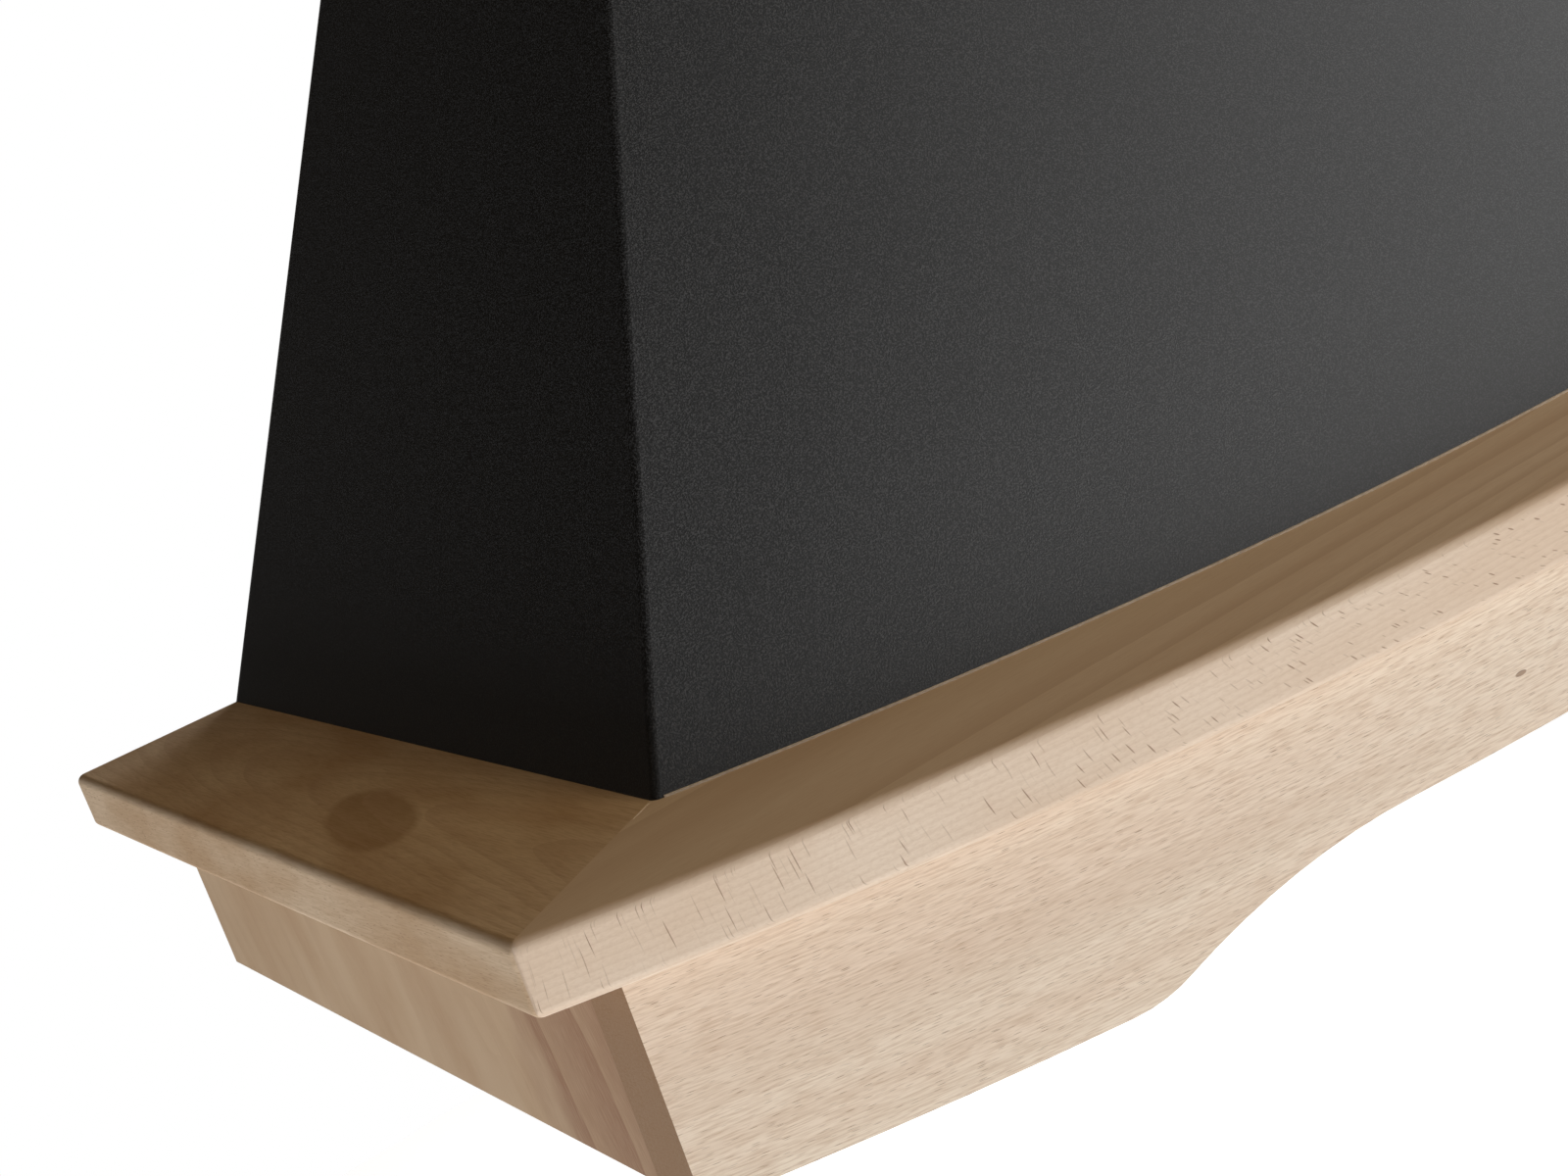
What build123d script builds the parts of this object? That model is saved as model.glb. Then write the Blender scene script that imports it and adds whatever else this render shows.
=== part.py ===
"""Rustic wall range hood: a beech crown under a bowed steel canopy, with a telescopic chimney.

Millimetres, +Z up. The wall is the plane Y = 0, the front faces -Y, and Z = 0 is the top of the beech ledge.
"""

import os
from math import acos, asin, cos, degrees, hypot, radians, sin, sqrt

from build123d import *

os.makedirs("parts", exist_ok=True)

# Beech crown: a mitred ledge with an apron under it
HOOD_WIDTH = 900.0  # over the ledge
LEDGE_SIDE_DEPTH = 353.0  # wall to the ledge's front corners
FRONT_BOW = 101.5  # how far the ledge's front stands out in the middle
LEDGE_THICK = 21.0
LEDGE_SIDE_SHOW = 66.0  # ledge left bare beside the canopy
LEDGE_FRONT_SHOW = 60.5
LEDGE_UNDERLAP = 24.0  # ledge under the canopy's foot flange
LEDGE_ROUND = 3.0
LEDGE_CORNER_ROUND = 3.5
APRON_THICK = 20.0
APRON_HEIGHT = 72.0
APRON_SIDE_INSET = 27.5
APRON_FRONT_INSET = 20.5
LOBE_LENGTH = 115.0  # straight foot of the front apron at each end
SCALLOP_RISE = 22.0
SCALLOP_HEEL_RADIUS = 41.0
SCALLOP_SWEEP_RADIUS = 173.0
DOWEL_RADIUS = 4.0
DOWEL_IN_LEDGE = 12.0
DOWEL_IN_APRON = 18.0

# Steel canopy and chimney
SHEET = 1.0
BACK_SHEET = 1.2
CANOPY_HEIGHT = 420.0
NECK_WIDTH = 290.0
NECK_CORNER_DEPTH = 148.0  # wall to the neck's front corners
BEND_RADIUS = 3.0
FOOT_FLANGE = 20.0
NECK_FLANGE = 14.0
REAR_FLANGE = 16.0
CHIMNEY_STEP = 4.0  # chimney set in from the canopy's neck
CHIMNEY_COVER_HEIGHT = 230.0
EXTENSION_SHOW = 30.0  # extension standing above the cover when pushed down
CHIMNEY_FLANGE = 14.0
SLOT_COUNT = 6  # air slots in each side of the extension
SLOT_LENGTH = 40.0
SLOT_WIDTH = 4.0
SLOT_PITCH = 10.0
SLOT_TOP = 90.0  # extension's top to the middle of the slots
BRACKET_HEIGHT = 24.0
BRACKET_DEPTH = 9.0
BRACKET_SHEET = 1.5
BRACKET_HOLE_SPACING = 120.0
BRACKET_HOLE_RADIUS = 3.0
WALL_HOLE_RADIUS = 4.0
WALL_HOLE_SPACING = 220.0
WALL_HOLE_RISE = 180.0
WALL_HOLE_BASE = 120.0  # lower pair of wall holes above the ledge

# Underside pan with its filters, lamps and push buttons
PAN_DROP = 50.0  # ledge's top to the pan's underside
PAN_FLANGE = 27.0
FRONT_STRIP = 113.0  # pan in front of the filters, measured at the ledge's corners
FILTER_BACK = 40.0
FILTER_WIDTH = 280.0
FILTER_THICK = 9.0
FILTER_SKIN = 1.0
FILTER_BORDER = 14.0
FILTER_APART = 24.0
FILTER_CLEAR = 1.0
FILTER_SEAT = 8.0
TAB_WIDTH = 14.0
TAB_LENGTH = 5.0
TAB_THICK = 1.5
TAB_SPACING = 180.0
TAB_SLOT_HEIGHT = 6.0
NET_PITCH_X = 36.0
NET_PITCH_Y = 18.0
NET_STRAND = 2.6
NET_TUCK = 5.0  # net held inside the frame's channel
SPRING_WIDTH = 12.0
SPRING_THICK = 0.5
HANDLE_WIRE = 1.5
HANDLE_FLATS = 8  # sides that the wire is drawn with
HANDLE_WIDTH = 56.0
HANDLE_DROP = 13.0
HANDLE_BEND = 4.0
EAR_SIZE = 5.5
LAMP_X = 230.0
LAMP_MARGIN = 14.0  # filter's front to the lamp's bezel
LAMP_BEZEL_RADIUS = 34.0
LAMP_BEZEL_THICK = 2.5
LAMP_HOLE_RADIUS = 28.0
LAMP_LENS_RADIUS = 24.0
LAMP_LENS_THICK = 2.0
LAMP_CAN_HEIGHT = 24.0
BUTTON_PITCH = 26.0
BUTTON_WIDTH = 18.0
BUTTON_DEPTH = 12.0
BUTTON_STAND = 4.0  # how far a button stands out of the fascia
BUTTON_TRAVEL = 3.0
BUTTON_LIP = 1.2
BUTTON_ROUND = 1.0
FASCIA_THICK = 3.0
FASCIA_MARGIN = 8.0
FASCIA_FROM_FRONT = 56.0  # front apron's back to the middle of the buttons
SWITCH_HEIGHT = 18.0

# Blower, outlet collar and non-return flaps
IMPELLER_RADIUS = 72.0
IMPELLER_HALF_WIDTH = 44.0
BLADE_COUNT = 30  # on each side of the impeller's disc
BLADE_DEPTH = 12.0
BLADE_THICK = 1.2
BLADE_LEAD = 5.0  # degrees that a blade's tip leads its root
RIM_WIDTH = 3.0
DISC_THICK = 2.0
HUB_RADIUS = 11.0
HUB_LENGTH = 12.0
NUT_FLATS = 13.0
NUT_HEIGHT = 5.0
SHAFT_RADIUS = 4.0
SCROLL_GAP = 9.0
SCROLL_STEP = 12.0  # growth of the scroll's radius for each quarter turn
SCROLL_HALF_WIDTH = 62.0
SCROLL_WALL = 2.0
SCROLL_BACK = 24.0  # wall to the inside of the scroll's rear
SCROLL_FLANGE = 12.0
SCROLL_FLANGE_THICK = 4.0
FAN_DROP = 168.0  # canopy's top to the fan's axis
INLET_RADIUS = 58.0
INLET_LIP = 6.0
MOTOR_RADIUS = 38.0
MOTOR_LENGTH = 46.0
MOTOR_GAP = 6.0  # impeller's disc to the motor
MOTOR_EASE = 3.0
BEARING_RADIUS = 9.0
BEARING_WIDTH = 8.0
SPIDER_THICK = 3.0
SPIDER_ARM = 10.0
SPIDER_RING = 9.0
SPIDER_HUB_RADIUS = 26.0
PLATE_SETBACK = 2.0
COLLAR_RADIUS = 59.5
COLLAR_WALL = 2.0
COLLAR_HEIGHT = 45.0
COLLAR_FLANGE = 11.0
COLLAR_FLANGE_THICK = 3.0
FLAP_SEAT_RISE = 8.0
FLAP_SEAT = 3.5
FLAP_SEAT_THICK = 2.0
FLAP_THICK = 1.5
FLAP_CLEAR = 1.0
FLAP_PIN_RADIUS = 1.5
KNUCKLE_WALL = 1.4
KNUCKLE_LENGTH = 22.0
GROMMET_RADIUS = 8.0
GROMMET_LIP = 2.5
GROMMET_BORE = 5.0
GROMMET_X = 105.0

# Wiring box on the back plate
BOX_WIDTH = 120.0
BOX_HEIGHT = 84.0
BOX_DEPTH = 44.0
BOX_WALL = 2.0
BOX_FROM_SIDE = 169.0  # canopy's foot to the middle of the box
BOX_BASE = 43.0
CAPACITOR_RADIUS = 15.0
CAPACITOR_LENGTH = 60.0
TERMINAL_LENGTH = 64.0
TERMINAL_DEPTH = 18.0
TERMINAL_HEIGHT = 16.0

# Screws and fits
SCREW_RADIUS = 2.0
SCREW_LENGTH = 14.0
SCREW_HEAD_RADIUS = 4.0
SCREW_HEAD = 2.4
FIT = 0.3  # gap between pieces that are fitted by hand
RUN = 0.05  # gap round a turning shaft
PAST = 5.0  # how far a cutter runs on past a face

# Plan of the bowed front, as half width, corner and bow
HALF = HOOD_WIDTH / 2
BOW_RADIUS = (HALF**2 + FRONT_BOW**2) / (2 * FRONT_BOW)
BOW_CENTRE = BOW_RADIUS - LEDGE_SIDE_DEPTH - FRONT_BOW
LOW = (Align.CENTER, Align.CENTER, Align.MIN)
HIGH = (Align.CENTER, Align.CENTER, Align.MAX)


def front_at(x, radius):
    """Y of a front that is concentric with the ledge's front, at x."""
    return BOW_CENTRE - sqrt(radius**2 - x**2)


def inset_plan(plan, side, front):
    """The same outline set in, with its front kept concentric."""
    half, corner, bow = plan
    radius = (half**2 + bow**2) / (2 * bow)
    centre = corner - bow + radius
    new_half, new_radius = half - side, radius - front
    new_corner = centre - sqrt(new_radius**2 - new_half**2)
    return new_half, new_corner, new_corner - centre + new_radius


def draw_plan(plan, back, mode=Mode.ADD):
    """Draws a plan in the current sketch, with straight sides running back to the Y given."""
    half, corner, bow = plan
    with BuildLine() as outline:
        Polyline((half, corner), (half, back), (-half, back), (-half, corner))
        ThreePointArc((-half, corner), (0, corner - bow), (half, corner))
    make_face(outline.edges(), mode=mode)


def front_corners(sketch):
    """The two front corners of a plan that has just been drawn."""
    return sketch.vertices().sort_by(Axis.Y)[:2]


def finish(piece, name):
    """Labels a finished piece and writes its file."""
    piece.part.label = name
    export_step(piece.part, f"parts/{name}.step")


def add_screws(spots):
    """Six-sided screws with heads seated at the places given and shanks along each place's -Z."""
    with BuildSketch(*spots) as heads:
        RegularPolygon(SCREW_HEAD_RADIUS, 6)
    extrude(heads.sketch, amount=SCREW_HEAD)
    with Locations(*spots):
        Cylinder(SCREW_RADIUS, SCREW_LENGTH, align=HIGH)


def cut_screw_holes(spots):
    """Clearance holes for those screws, in whatever lies along the shanks."""
    with Locations(*spots):
        Cylinder(SCREW_RADIUS + RUN, 2 * (SCREW_LENGTH + FIT), mode=Mode.SUBTRACT)


LEDGE_OUTER = (HALF, -LEDGE_SIDE_DEPTH, FRONT_BOW)
LEDGE_INNER = inset_plan(LEDGE_OUTER, LEDGE_SIDE_SHOW + LEDGE_UNDERLAP, LEDGE_FRONT_SHOW + LEDGE_UNDERLAP)
APRON_OUTER = inset_plan(LEDGE_OUTER, APRON_SIDE_INSET, APRON_FRONT_INSET)
APRON_INNER = inset_plan(APRON_OUTER, APRON_THICK, APRON_THICK)
PAN_PLAN = inset_plan(APRON_INNER, FIT, FIT)
CANOPY_FOOT = inset_plan(LEDGE_OUTER, LEDGE_SIDE_SHOW, LEDGE_FRONT_SHOW)
NECK_HALF = NECK_WIDTH / 2
CANOPY_NECK = (NECK_HALF, -NECK_CORNER_DEPTH, CANOPY_FOOT[2] * NECK_HALF / CANOPY_FOOT[0])
CHIMNEY_OUTER = inset_plan(CANOPY_NECK, CHIMNEY_STEP, CHIMNEY_STEP)
CHIMNEY_INNER = inset_plan(CHIMNEY_OUTER, SHEET, SHEET)
EXTENSION_OUTER = inset_plan(CHIMNEY_INNER, FIT, FIT)
EXTENSION_INNER = inset_plan(EXTENSION_OUTER, SHEET, SHEET)
APRON_BACK_RADIUS = BOW_RADIUS - APRON_FRONT_INSET - APRON_THICK
APRON_BASE = -LEDGE_THICK - APRON_HEIGHT
BACK_FACE = -BACK_SHEET
PAN_BASE = -PAN_DROP
PAN_TOP = PAN_BASE + SHEET
PLATE_TOP = CANOPY_HEIGHT - SHEET
PLATE_BASE = PLATE_TOP - BACK_SHEET

# Dowels between ledge and apron, as places on the ledge's underside
SIDE_DOWEL_X = HALF - APRON_SIDE_INSET - APRON_THICK / 2
FRONT_DOWEL_RADIUS = BOW_RADIUS - APRON_FRONT_INSET - APRON_THICK / 2
DOWEL_SPOTS = []
for side in (-1, 1):
    for share in (0.32, 0.78):
        DOWEL_SPOTS.append(Location((side * SIDE_DOWEL_X, -LEDGE_SIDE_DEPTH * share, -LEDGE_THICK)))
for share in (-0.72, -0.24, 0.24, 0.72):
    spot_x = HALF * share
    DOWEL_SPOTS.append(Location((spot_x, front_at(spot_x, FRONT_DOWEL_RADIUS), -LEDGE_THICK)))

# Screws down through the canopy's foot flange into the ledge
FLANGE_MIDDLE = SHEET + FOOT_FLANGE / 2
FRONT_SCREW_RADIUS = BOW_RADIUS - LEDGE_FRONT_SHOW - FLANGE_MIDDLE
LEDGE_SCREW_SPOTS = []
for side in (-1, 1):
    for share in (0.25, 0.75):
        screw_x = side * (CANOPY_FOOT[0] - FLANGE_MIDDLE)
        LEDGE_SCREW_SPOTS.append(Location((screw_x, CANOPY_FOOT[1] * share, SHEET)))
for share in (-0.45, 0.45):
    screw_x = CANOPY_FOOT[0] * share
    LEDGE_SCREW_SPOTS.append(Location((screw_x, front_at(screw_x, FRONT_SCREW_RADIUS), SHEET)))

# Screws sideways through the pan's flanges into the side aprons
PAN_SCREW_SPOTS = []
for side in (-1, 1):
    for share in (0.2, 0.6):
        screw_place = (side * (PAN_PLAN[0] - SHEET), -LEDGE_SIDE_DEPTH * share, PAN_BASE + PAN_FLANGE / 2)
        PAN_SCREW_SPOTS.append(Location(screw_place, (0, -side * 90, 0)))


def cut_dowel_holes():
    """Blind holes for the dowels, a little longer than the dowels are."""
    with Locations(*DOWEL_SPOTS):
        Cylinder(DOWEL_RADIUS + RUN, DOWEL_IN_LEDGE + FIT, align=LOW, mode=Mode.SUBTRACT)
        Cylinder(DOWEL_RADIUS + RUN, DOWEL_IN_APRON + FIT, align=HIGH, mode=Mode.SUBTRACT)


# Ledge: one bowed ring with eased edges, cut into three boards on its mitres
def on_outer_edge(edge):
    """Whether an edge runs along the top or bottom of the ledge's outside."""
    middle = edge @ 0.5
    level = min(abs(middle.Z), abs(middle.Z + LEDGE_THICK)) < LEDGE_ROUND / 2
    beside = abs(middle.X) > HALF - LEDGE_CORNER_ROUND
    in_front = hypot(middle.X, middle.Y - BOW_CENTRE) > BOW_RADIUS - LEDGE_CORNER_ROUND
    return level and (beside or in_front)


def mitre(side):
    """Upright plane through a front corner of the ledge, facing the side board."""
    run = Vector(LEDGE_OUTER[0] - LEDGE_INNER[0], LEDGE_INNER[1] - LEDGE_OUTER[1], 0).normalized()
    corner = (side * LEDGE_OUTER[0], LEDGE_OUTER[1], 0)
    return Plane(origin=corner, x_dir=(0, 0, 1), z_dir=(side * run.Y, run.X, 0))


with BuildPart() as crown_ring:
    with BuildSketch(Plane.XY.offset(-LEDGE_THICK)) as ring_plan:
        draw_plan(LEDGE_OUTER, 0)
        fillet(front_corners(ring_plan), LEDGE_CORNER_ROUND)
        draw_plan(LEDGE_INNER, PAST, Mode.SUBTRACT)
    extrude(amount=LEDGE_THICK)
    fillet(crown_ring.edges().filter_by(on_outer_edge), LEDGE_ROUND)
    cut_dowel_holes()
    cut_screw_holes(LEDGE_SCREW_SPOTS)

with BuildPart() as ledge_left:
    add(crown_ring.part)
    split(bisect_by=mitre(-1), keep=Keep.TOP)
finish(ledge_left, "ledge_left")

with BuildPart() as ledge_right:
    add(crown_ring.part)
    split(bisect_by=mitre(1), keep=Keep.TOP)
finish(ledge_right, "ledge_right")

with BuildPart() as ledge_front:
    add(crown_ring.part)
    split(bisect_by=mitre(-1), keep=Keep.BOTTOM)
    split(bisect_by=mitre(1), keep=Keep.BOTTOM)
finish(ledge_front, "ledge_front")

# Front apron: a bowed board that covers the ends of the side boards, with a scalloped lower edge
SCALLOP_TURN = acos(1 - SCALLOP_RISE / (SCALLOP_HEEL_RADIUS + SCALLOP_SWEEP_RADIUS))
HEEL_RUN = SCALLOP_HEEL_RADIUS * sin(SCALLOP_TURN)
HEEL_RISE = SCALLOP_HEEL_RADIUS * (1 - cos(SCALLOP_TURN))
SWEEP_RUN = SCALLOP_SWEEP_RADIUS * sin(SCALLOP_TURN)
SCALLOP_HALF = APRON_OUTER[0] - LOBE_LENGTH
HALF_TURN = SCALLOP_TURN / 2

with BuildPart() as apron_front:
    with BuildSketch(Plane.XY.offset(APRON_BASE)):
        draw_plan(APRON_OUTER, 0)
        with Locations((0, BOW_CENTRE)):
            Circle(APRON_BACK_RADIUS, mode=Mode.SUBTRACT)
    extrude(amount=APRON_HEIGHT)
    with BuildSketch(Plane.XZ):
        with BuildLine():
            heel = (SCALLOP_HALF, APRON_BASE)
            turn = (SCALLOP_HALF - HEEL_RUN, APRON_BASE + HEEL_RISE)
            crest = (SCALLOP_HALF - HEEL_RUN - SWEEP_RUN, APRON_BASE + SCALLOP_RISE)
            heel_middle = (
                heel[0] - SCALLOP_HEEL_RADIUS * sin(HALF_TURN),
                APRON_BASE + SCALLOP_HEEL_RADIUS * (1 - cos(HALF_TURN)),
            )
            sweep_middle = (
                crest[0] + SCALLOP_SWEEP_RADIUS * sin(HALF_TURN),
                crest[1] - SCALLOP_SWEEP_RADIUS * (1 - cos(HALF_TURN)),
            )
            ThreePointArc(heel, heel_middle, turn)
            ThreePointArc(turn, sweep_middle, crest)
            Line(crest, (0, crest[1]))
            Line((0, crest[1]), (0, APRON_BASE - PAST))
            Line((0, APRON_BASE - PAST), (heel[0], APRON_BASE - PAST))
            Line((heel[0], APRON_BASE - PAST), heel)
        make_face()
        mirror(about=Plane.YZ)
    extrude(amount=2 * (LEDGE_SIDE_DEPTH + FRONT_BOW), mode=Mode.SUBTRACT)
    cut_dowel_holes()
finish(apron_front, "apron_front")

# Side aprons: straight boards butted against the back of the front board
for side, name in ((-1, "apron_left"), (1, "apron_right")):
    with BuildPart() as apron_side:
        with BuildSketch(Plane.XY.offset(APRON_BASE)):
            with Locations((side * (APRON_OUTER[0] - APRON_THICK / 2), 0)):
                Rectangle(APRON_THICK, 2 * LEDGE_SIDE_DEPTH, align=(Align.CENTER, Align.MAX))
            with Locations((0, BOW_CENTRE)):
                Circle(APRON_BACK_RADIUS, mode=Mode.INTERSECT)
        extrude(amount=APRON_HEIGHT)
        cut_dowel_holes()
        cut_screw_holes(PAN_SCREW_SPOTS)
    finish(apron_side, name)

with BuildPart() as crown_dowels:
    with Locations(*DOWEL_SPOTS):
        Cylinder(DOWEL_RADIUS, DOWEL_IN_LEDGE, align=LOW)
        Cylinder(DOWEL_RADIUS, DOWEL_IN_APRON, align=HIGH)
finish(crown_dowels, "crown_dowels")

# Canopy: front and sides folded from one sheet, with flanges at the foot, neck and rear
SIDE_LEAN = (CANOPY_FOOT[0] - NECK_HALF) / CANOPY_HEIGHT
FRONT_RUN = CANOPY_NECK[1] - CANOPY_NECK[2] - CANOPY_FOOT[1] + CANOPY_FOOT[2]
SIDE_WALL = SHEET * hypot(1, SIDE_LEAN)
FRONT_WALL = SHEET * hypot(1, FRONT_RUN / CANOPY_HEIGHT)
FOOT_INNER = inset_plan(CANOPY_FOOT, SIDE_WALL, FRONT_WALL)
NECK_INNER = inset_plan(CANOPY_NECK, SIDE_WALL, FRONT_WALL)

with BuildPart() as body_shell:
    with BuildSketch(Plane.XY) as foot_plan:
        draw_plan(CANOPY_FOOT, BACK_FACE)
        fillet(front_corners(foot_plan), BEND_RADIUS)
    with BuildSketch(Plane.XY.offset(CANOPY_HEIGHT)) as neck_plan:
        draw_plan(CANOPY_NECK, BACK_FACE)
        fillet(front_corners(neck_plan), BEND_RADIUS)
    loft(ruled=True)
    with BuildSketch(Plane.XY) as foot_hollow:
        draw_plan(FOOT_INNER, PAST)
        fillet(front_corners(foot_hollow), BEND_RADIUS - SHEET)
    with BuildSketch(Plane.XY.offset(CANOPY_HEIGHT)) as neck_hollow:
        draw_plan(NECK_INNER, PAST)
        fillet(front_corners(neck_hollow), BEND_RADIUS - SHEET)
    loft(ruled=True, mode=Mode.SUBTRACT)
    with BuildSketch(Plane.XY):
        draw_plan(FOOT_INNER, BACK_FACE)
        draw_plan(inset_plan(FOOT_INNER, FOOT_FLANGE, FOOT_FLANGE), PAST, Mode.SUBTRACT)
    extrude(amount=SHEET)
    with BuildSketch(Plane.XY.offset(PLATE_TOP)):
        draw_plan(inset_plan(CANOPY_NECK, SHEET / 2, SHEET / 2), BACK_FACE)
        draw_plan(inset_plan(CANOPY_NECK, NECK_FLANGE, NECK_FLANGE), PAST, Mode.SUBTRACT)
    extrude(amount=SHEET)
    with BuildSketch(Plane.XZ.offset(BACK_SHEET)):
        for side in (-1, 1):
            with BuildLine():
                foot_x, neck_x = side * (CANOPY_FOOT[0] - SIDE_WALL / 2), side * (NECK_HALF - SIDE_WALL / 2)
                inward = side * REAR_FLANGE
                Polyline(
                    (foot_x, 0),
                    (neck_x, CANOPY_HEIGHT),
                    (neck_x - inward, CANOPY_HEIGHT),
                    (foot_x - inward, 0),
                    close=True,
                )
            make_face()
    extrude(amount=SHEET)
    cut_screw_holes(LEDGE_SCREW_SPOTS)
finish(body_shell, "body_shell")

with BuildPart() as ledge_screws:
    add_screws(LEDGE_SCREW_SPOTS)
finish(ledge_screws, "ledge_screws")

# Back plate against the wall, with a tongue down to the pan and four wall holes
with BuildPart() as back_plate:
    with BuildSketch(Plane.XZ):
        tongue = LEDGE_INNER[0] - FIT
        with BuildLine():
            Polyline(
                (-tongue, PAN_BASE),
                (tongue, PAN_BASE),
                (tongue, 0),
                (CANOPY_FOOT[0], 0),
                (NECK_HALF, CANOPY_HEIGHT),
                (-NECK_HALF, CANOPY_HEIGHT),
                (-CANOPY_FOOT[0], 0),
                (-tongue, 0),
                close=True,
            )
        make_face()
        with Locations((0, WALL_HOLE_BASE + WALL_HOLE_RISE / 2)):
            with GridLocations(WALL_HOLE_SPACING, WALL_HOLE_RISE, 2, 2):
                Circle(WALL_HOLE_RADIUS, mode=Mode.SUBTRACT)
    extrude(amount=BACK_SHEET)
finish(back_plate, "back_plate")

# Chimney cover, standing on the canopy's neck flange
COVER_TOP = CANOPY_HEIGHT + CHIMNEY_COVER_HEIGHT


def chimney_wall(outer, inner, bend, base, height, flange_back):
    """Front and sides of a chimney section, with rear flanges turned in at the Y given."""
    with BuildSketch(Plane.XY.offset(base)) as outside:
        draw_plan(outer, flange_back)
        fillet(front_corners(outside), bend)
    extrude(outside.sketch, amount=height)
    with BuildSketch(Plane.XY.offset(base)) as inside:
        draw_plan(inner, flange_back - SHEET)
        fillet(front_corners(inside), bend - SHEET)
    extrude(inside.sketch, amount=height, mode=Mode.SUBTRACT)
    with Locations((0, flange_back, base)):
        Box(
            2 * (inner[0] - CHIMNEY_FLANGE),
            4 * SHEET,
            height,
            align=LOW,
            mode=Mode.SUBTRACT,
        )


with BuildPart() as chimney_cover:
    chimney_wall(CHIMNEY_OUTER, CHIMNEY_INNER, BEND_RADIUS, CANOPY_HEIGHT, CHIMNEY_COVER_HEIGHT, 0)
finish(chimney_cover, "chimney_cover")

# Chimney extension, sliding inside the cover, with air slots and a wall bracket near its top
EXTENSION_BASE = CANOPY_HEIGHT + FIT
EXTENSION_HEIGHT = CHIMNEY_COVER_HEIGHT + EXTENSION_SHOW
EXTENSION_TOP = EXTENSION_BASE + EXTENSION_HEIGHT
EXTENSION_BACK = -SHEET - FIT
SLOT_MIDDLE_Y = (EXTENSION_OUTER[1] + EXTENSION_BACK) / 2

with BuildPart() as chimney_extension:
    chimney_wall(
        EXTENSION_OUTER,
        EXTENSION_INNER,
        BEND_RADIUS - SHEET - FIT,
        EXTENSION_BASE,
        EXTENSION_HEIGHT,
        EXTENSION_BACK,
    )
    with BuildSketch(Plane.YZ):
        with Locations((SLOT_MIDDLE_Y, EXTENSION_TOP - SLOT_TOP)):
            with GridLocations(SLOT_LENGTH, SLOT_PITCH, 1, SLOT_COUNT):
                SlotOverall(SLOT_LENGTH, SLOT_WIDTH)
    extrude(amount=HALF, both=True, mode=Mode.SUBTRACT)
finish(chimney_extension, "chimney_extension")

BRACKET_HALF = EXTENSION_INNER[0] - FIT
BRACKET_FACE = EXTENSION_BACK - SHEET - FIT
BRACKET_BASE = EXTENSION_TOP - FIT - BRACKET_HEIGHT
with BuildPart() as chimney_bracket:
    with BuildSketch(Plane.XY.offset(BRACKET_BASE)):
        with Locations((0, BRACKET_FACE)):
            Rectangle(2 * BRACKET_HALF, BRACKET_DEPTH, align=(Align.CENTER, Align.MAX))
        with Locations((0, BRACKET_FACE - BRACKET_SHEET)):
            Rectangle(
                2 * (BRACKET_HALF - BRACKET_SHEET),
                BRACKET_DEPTH,
                align=(Align.CENTER, Align.MAX),
                mode=Mode.SUBTRACT,
            )
    extrude(amount=BRACKET_HEIGHT)
    with BuildSketch(Plane.XZ):
        with Locations((0, BRACKET_BASE + BRACKET_HEIGHT / 2)):
            with GridLocations(BRACKET_HOLE_SPACING, 1, 2, 1):
                Circle(BRACKET_HOLE_RADIUS)
    extrude(amount=-BRACKET_FACE + 2 * BRACKET_DEPTH, mode=Mode.SUBTRACT)
finish(chimney_bracket, "chimney_bracket")

# Blower plate closing the canopy's neck, with the outlet hole and a cable hole
SCROLL_RADIUS = IMPELLER_RADIUS + SCROLL_GAP
FAN_Y = -SCROLL_BACK - SCROLL_STEP / 2 - (SCROLL_RADIUS + 2 * SCROLL_STEP)
FAN_Z = CANOPY_HEIGHT - FAN_DROP
TONGUE_Y = FAN_Y - SCROLL_STEP / 2
OUTLET_Y = (TONGUE_Y - SCROLL_BACK) / 2
SCROLL_SIDE = SCROLL_HALF_WIDTH + SCROLL_WALL
BLOWER_SCREW_X = SCROLL_SIDE + SCROLL_FLANGE / 2 + SCREW_RADIUS / 2
BLOWER_SCREW_Y = (OUTLET_Y + TONGUE_Y) / 2 - OUTLET_Y
BLOWER_SCREW_SPOTS = []
for side in (-1, 1):
    for away in (-1, 1):
        BLOWER_SCREW_SPOTS.append(Location((side * BLOWER_SCREW_X, OUTLET_Y + away * BLOWER_SCREW_Y, PLATE_TOP)))

with BuildPart() as blower_plate:
    with BuildSketch(Plane.XY.offset(PLATE_BASE)):
        draw_plan(inset_plan(CANOPY_NECK, PLATE_SETBACK, PLATE_SETBACK), BACK_FACE - SHEET - FIT)
        with Locations((0, OUTLET_Y)):
            Circle(COLLAR_RADIUS - COLLAR_WALL, mode=Mode.SUBTRACT)
        with Locations((GROMMET_X, OUTLET_Y)):
            Circle(GROMMET_RADIUS + RUN, mode=Mode.SUBTRACT)
    extrude(amount=BACK_SHEET)
    cut_screw_holes(BLOWER_SCREW_SPOTS)
finish(blower_plate, "blower_plate")

with BuildPart() as blower_screws:
    add_screws(BLOWER_SCREW_SPOTS)
finish(blower_screws, "blower_screws")

with BuildPart() as cable_grommet:
    with Locations((GROMMET_X, OUTLET_Y, PLATE_TOP)):
        Cylinder(GROMMET_RADIUS + GROMMET_LIP, GROMMET_LIP, align=LOW)
        Cylinder(GROMMET_RADIUS, BACK_SHEET, align=HIGH)
    with Locations((GROMMET_X, OUTLET_Y, PLATE_BASE)):
        Cylinder(GROMMET_RADIUS + GROMMET_LIP, GROMMET_LIP, align=HIGH)
        Cylinder(GROMMET_BORE, 4 * (GROMMET_LIP + BACK_SHEET), mode=Mode.SUBTRACT)
finish(cable_grommet, "cable_grommet")


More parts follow.
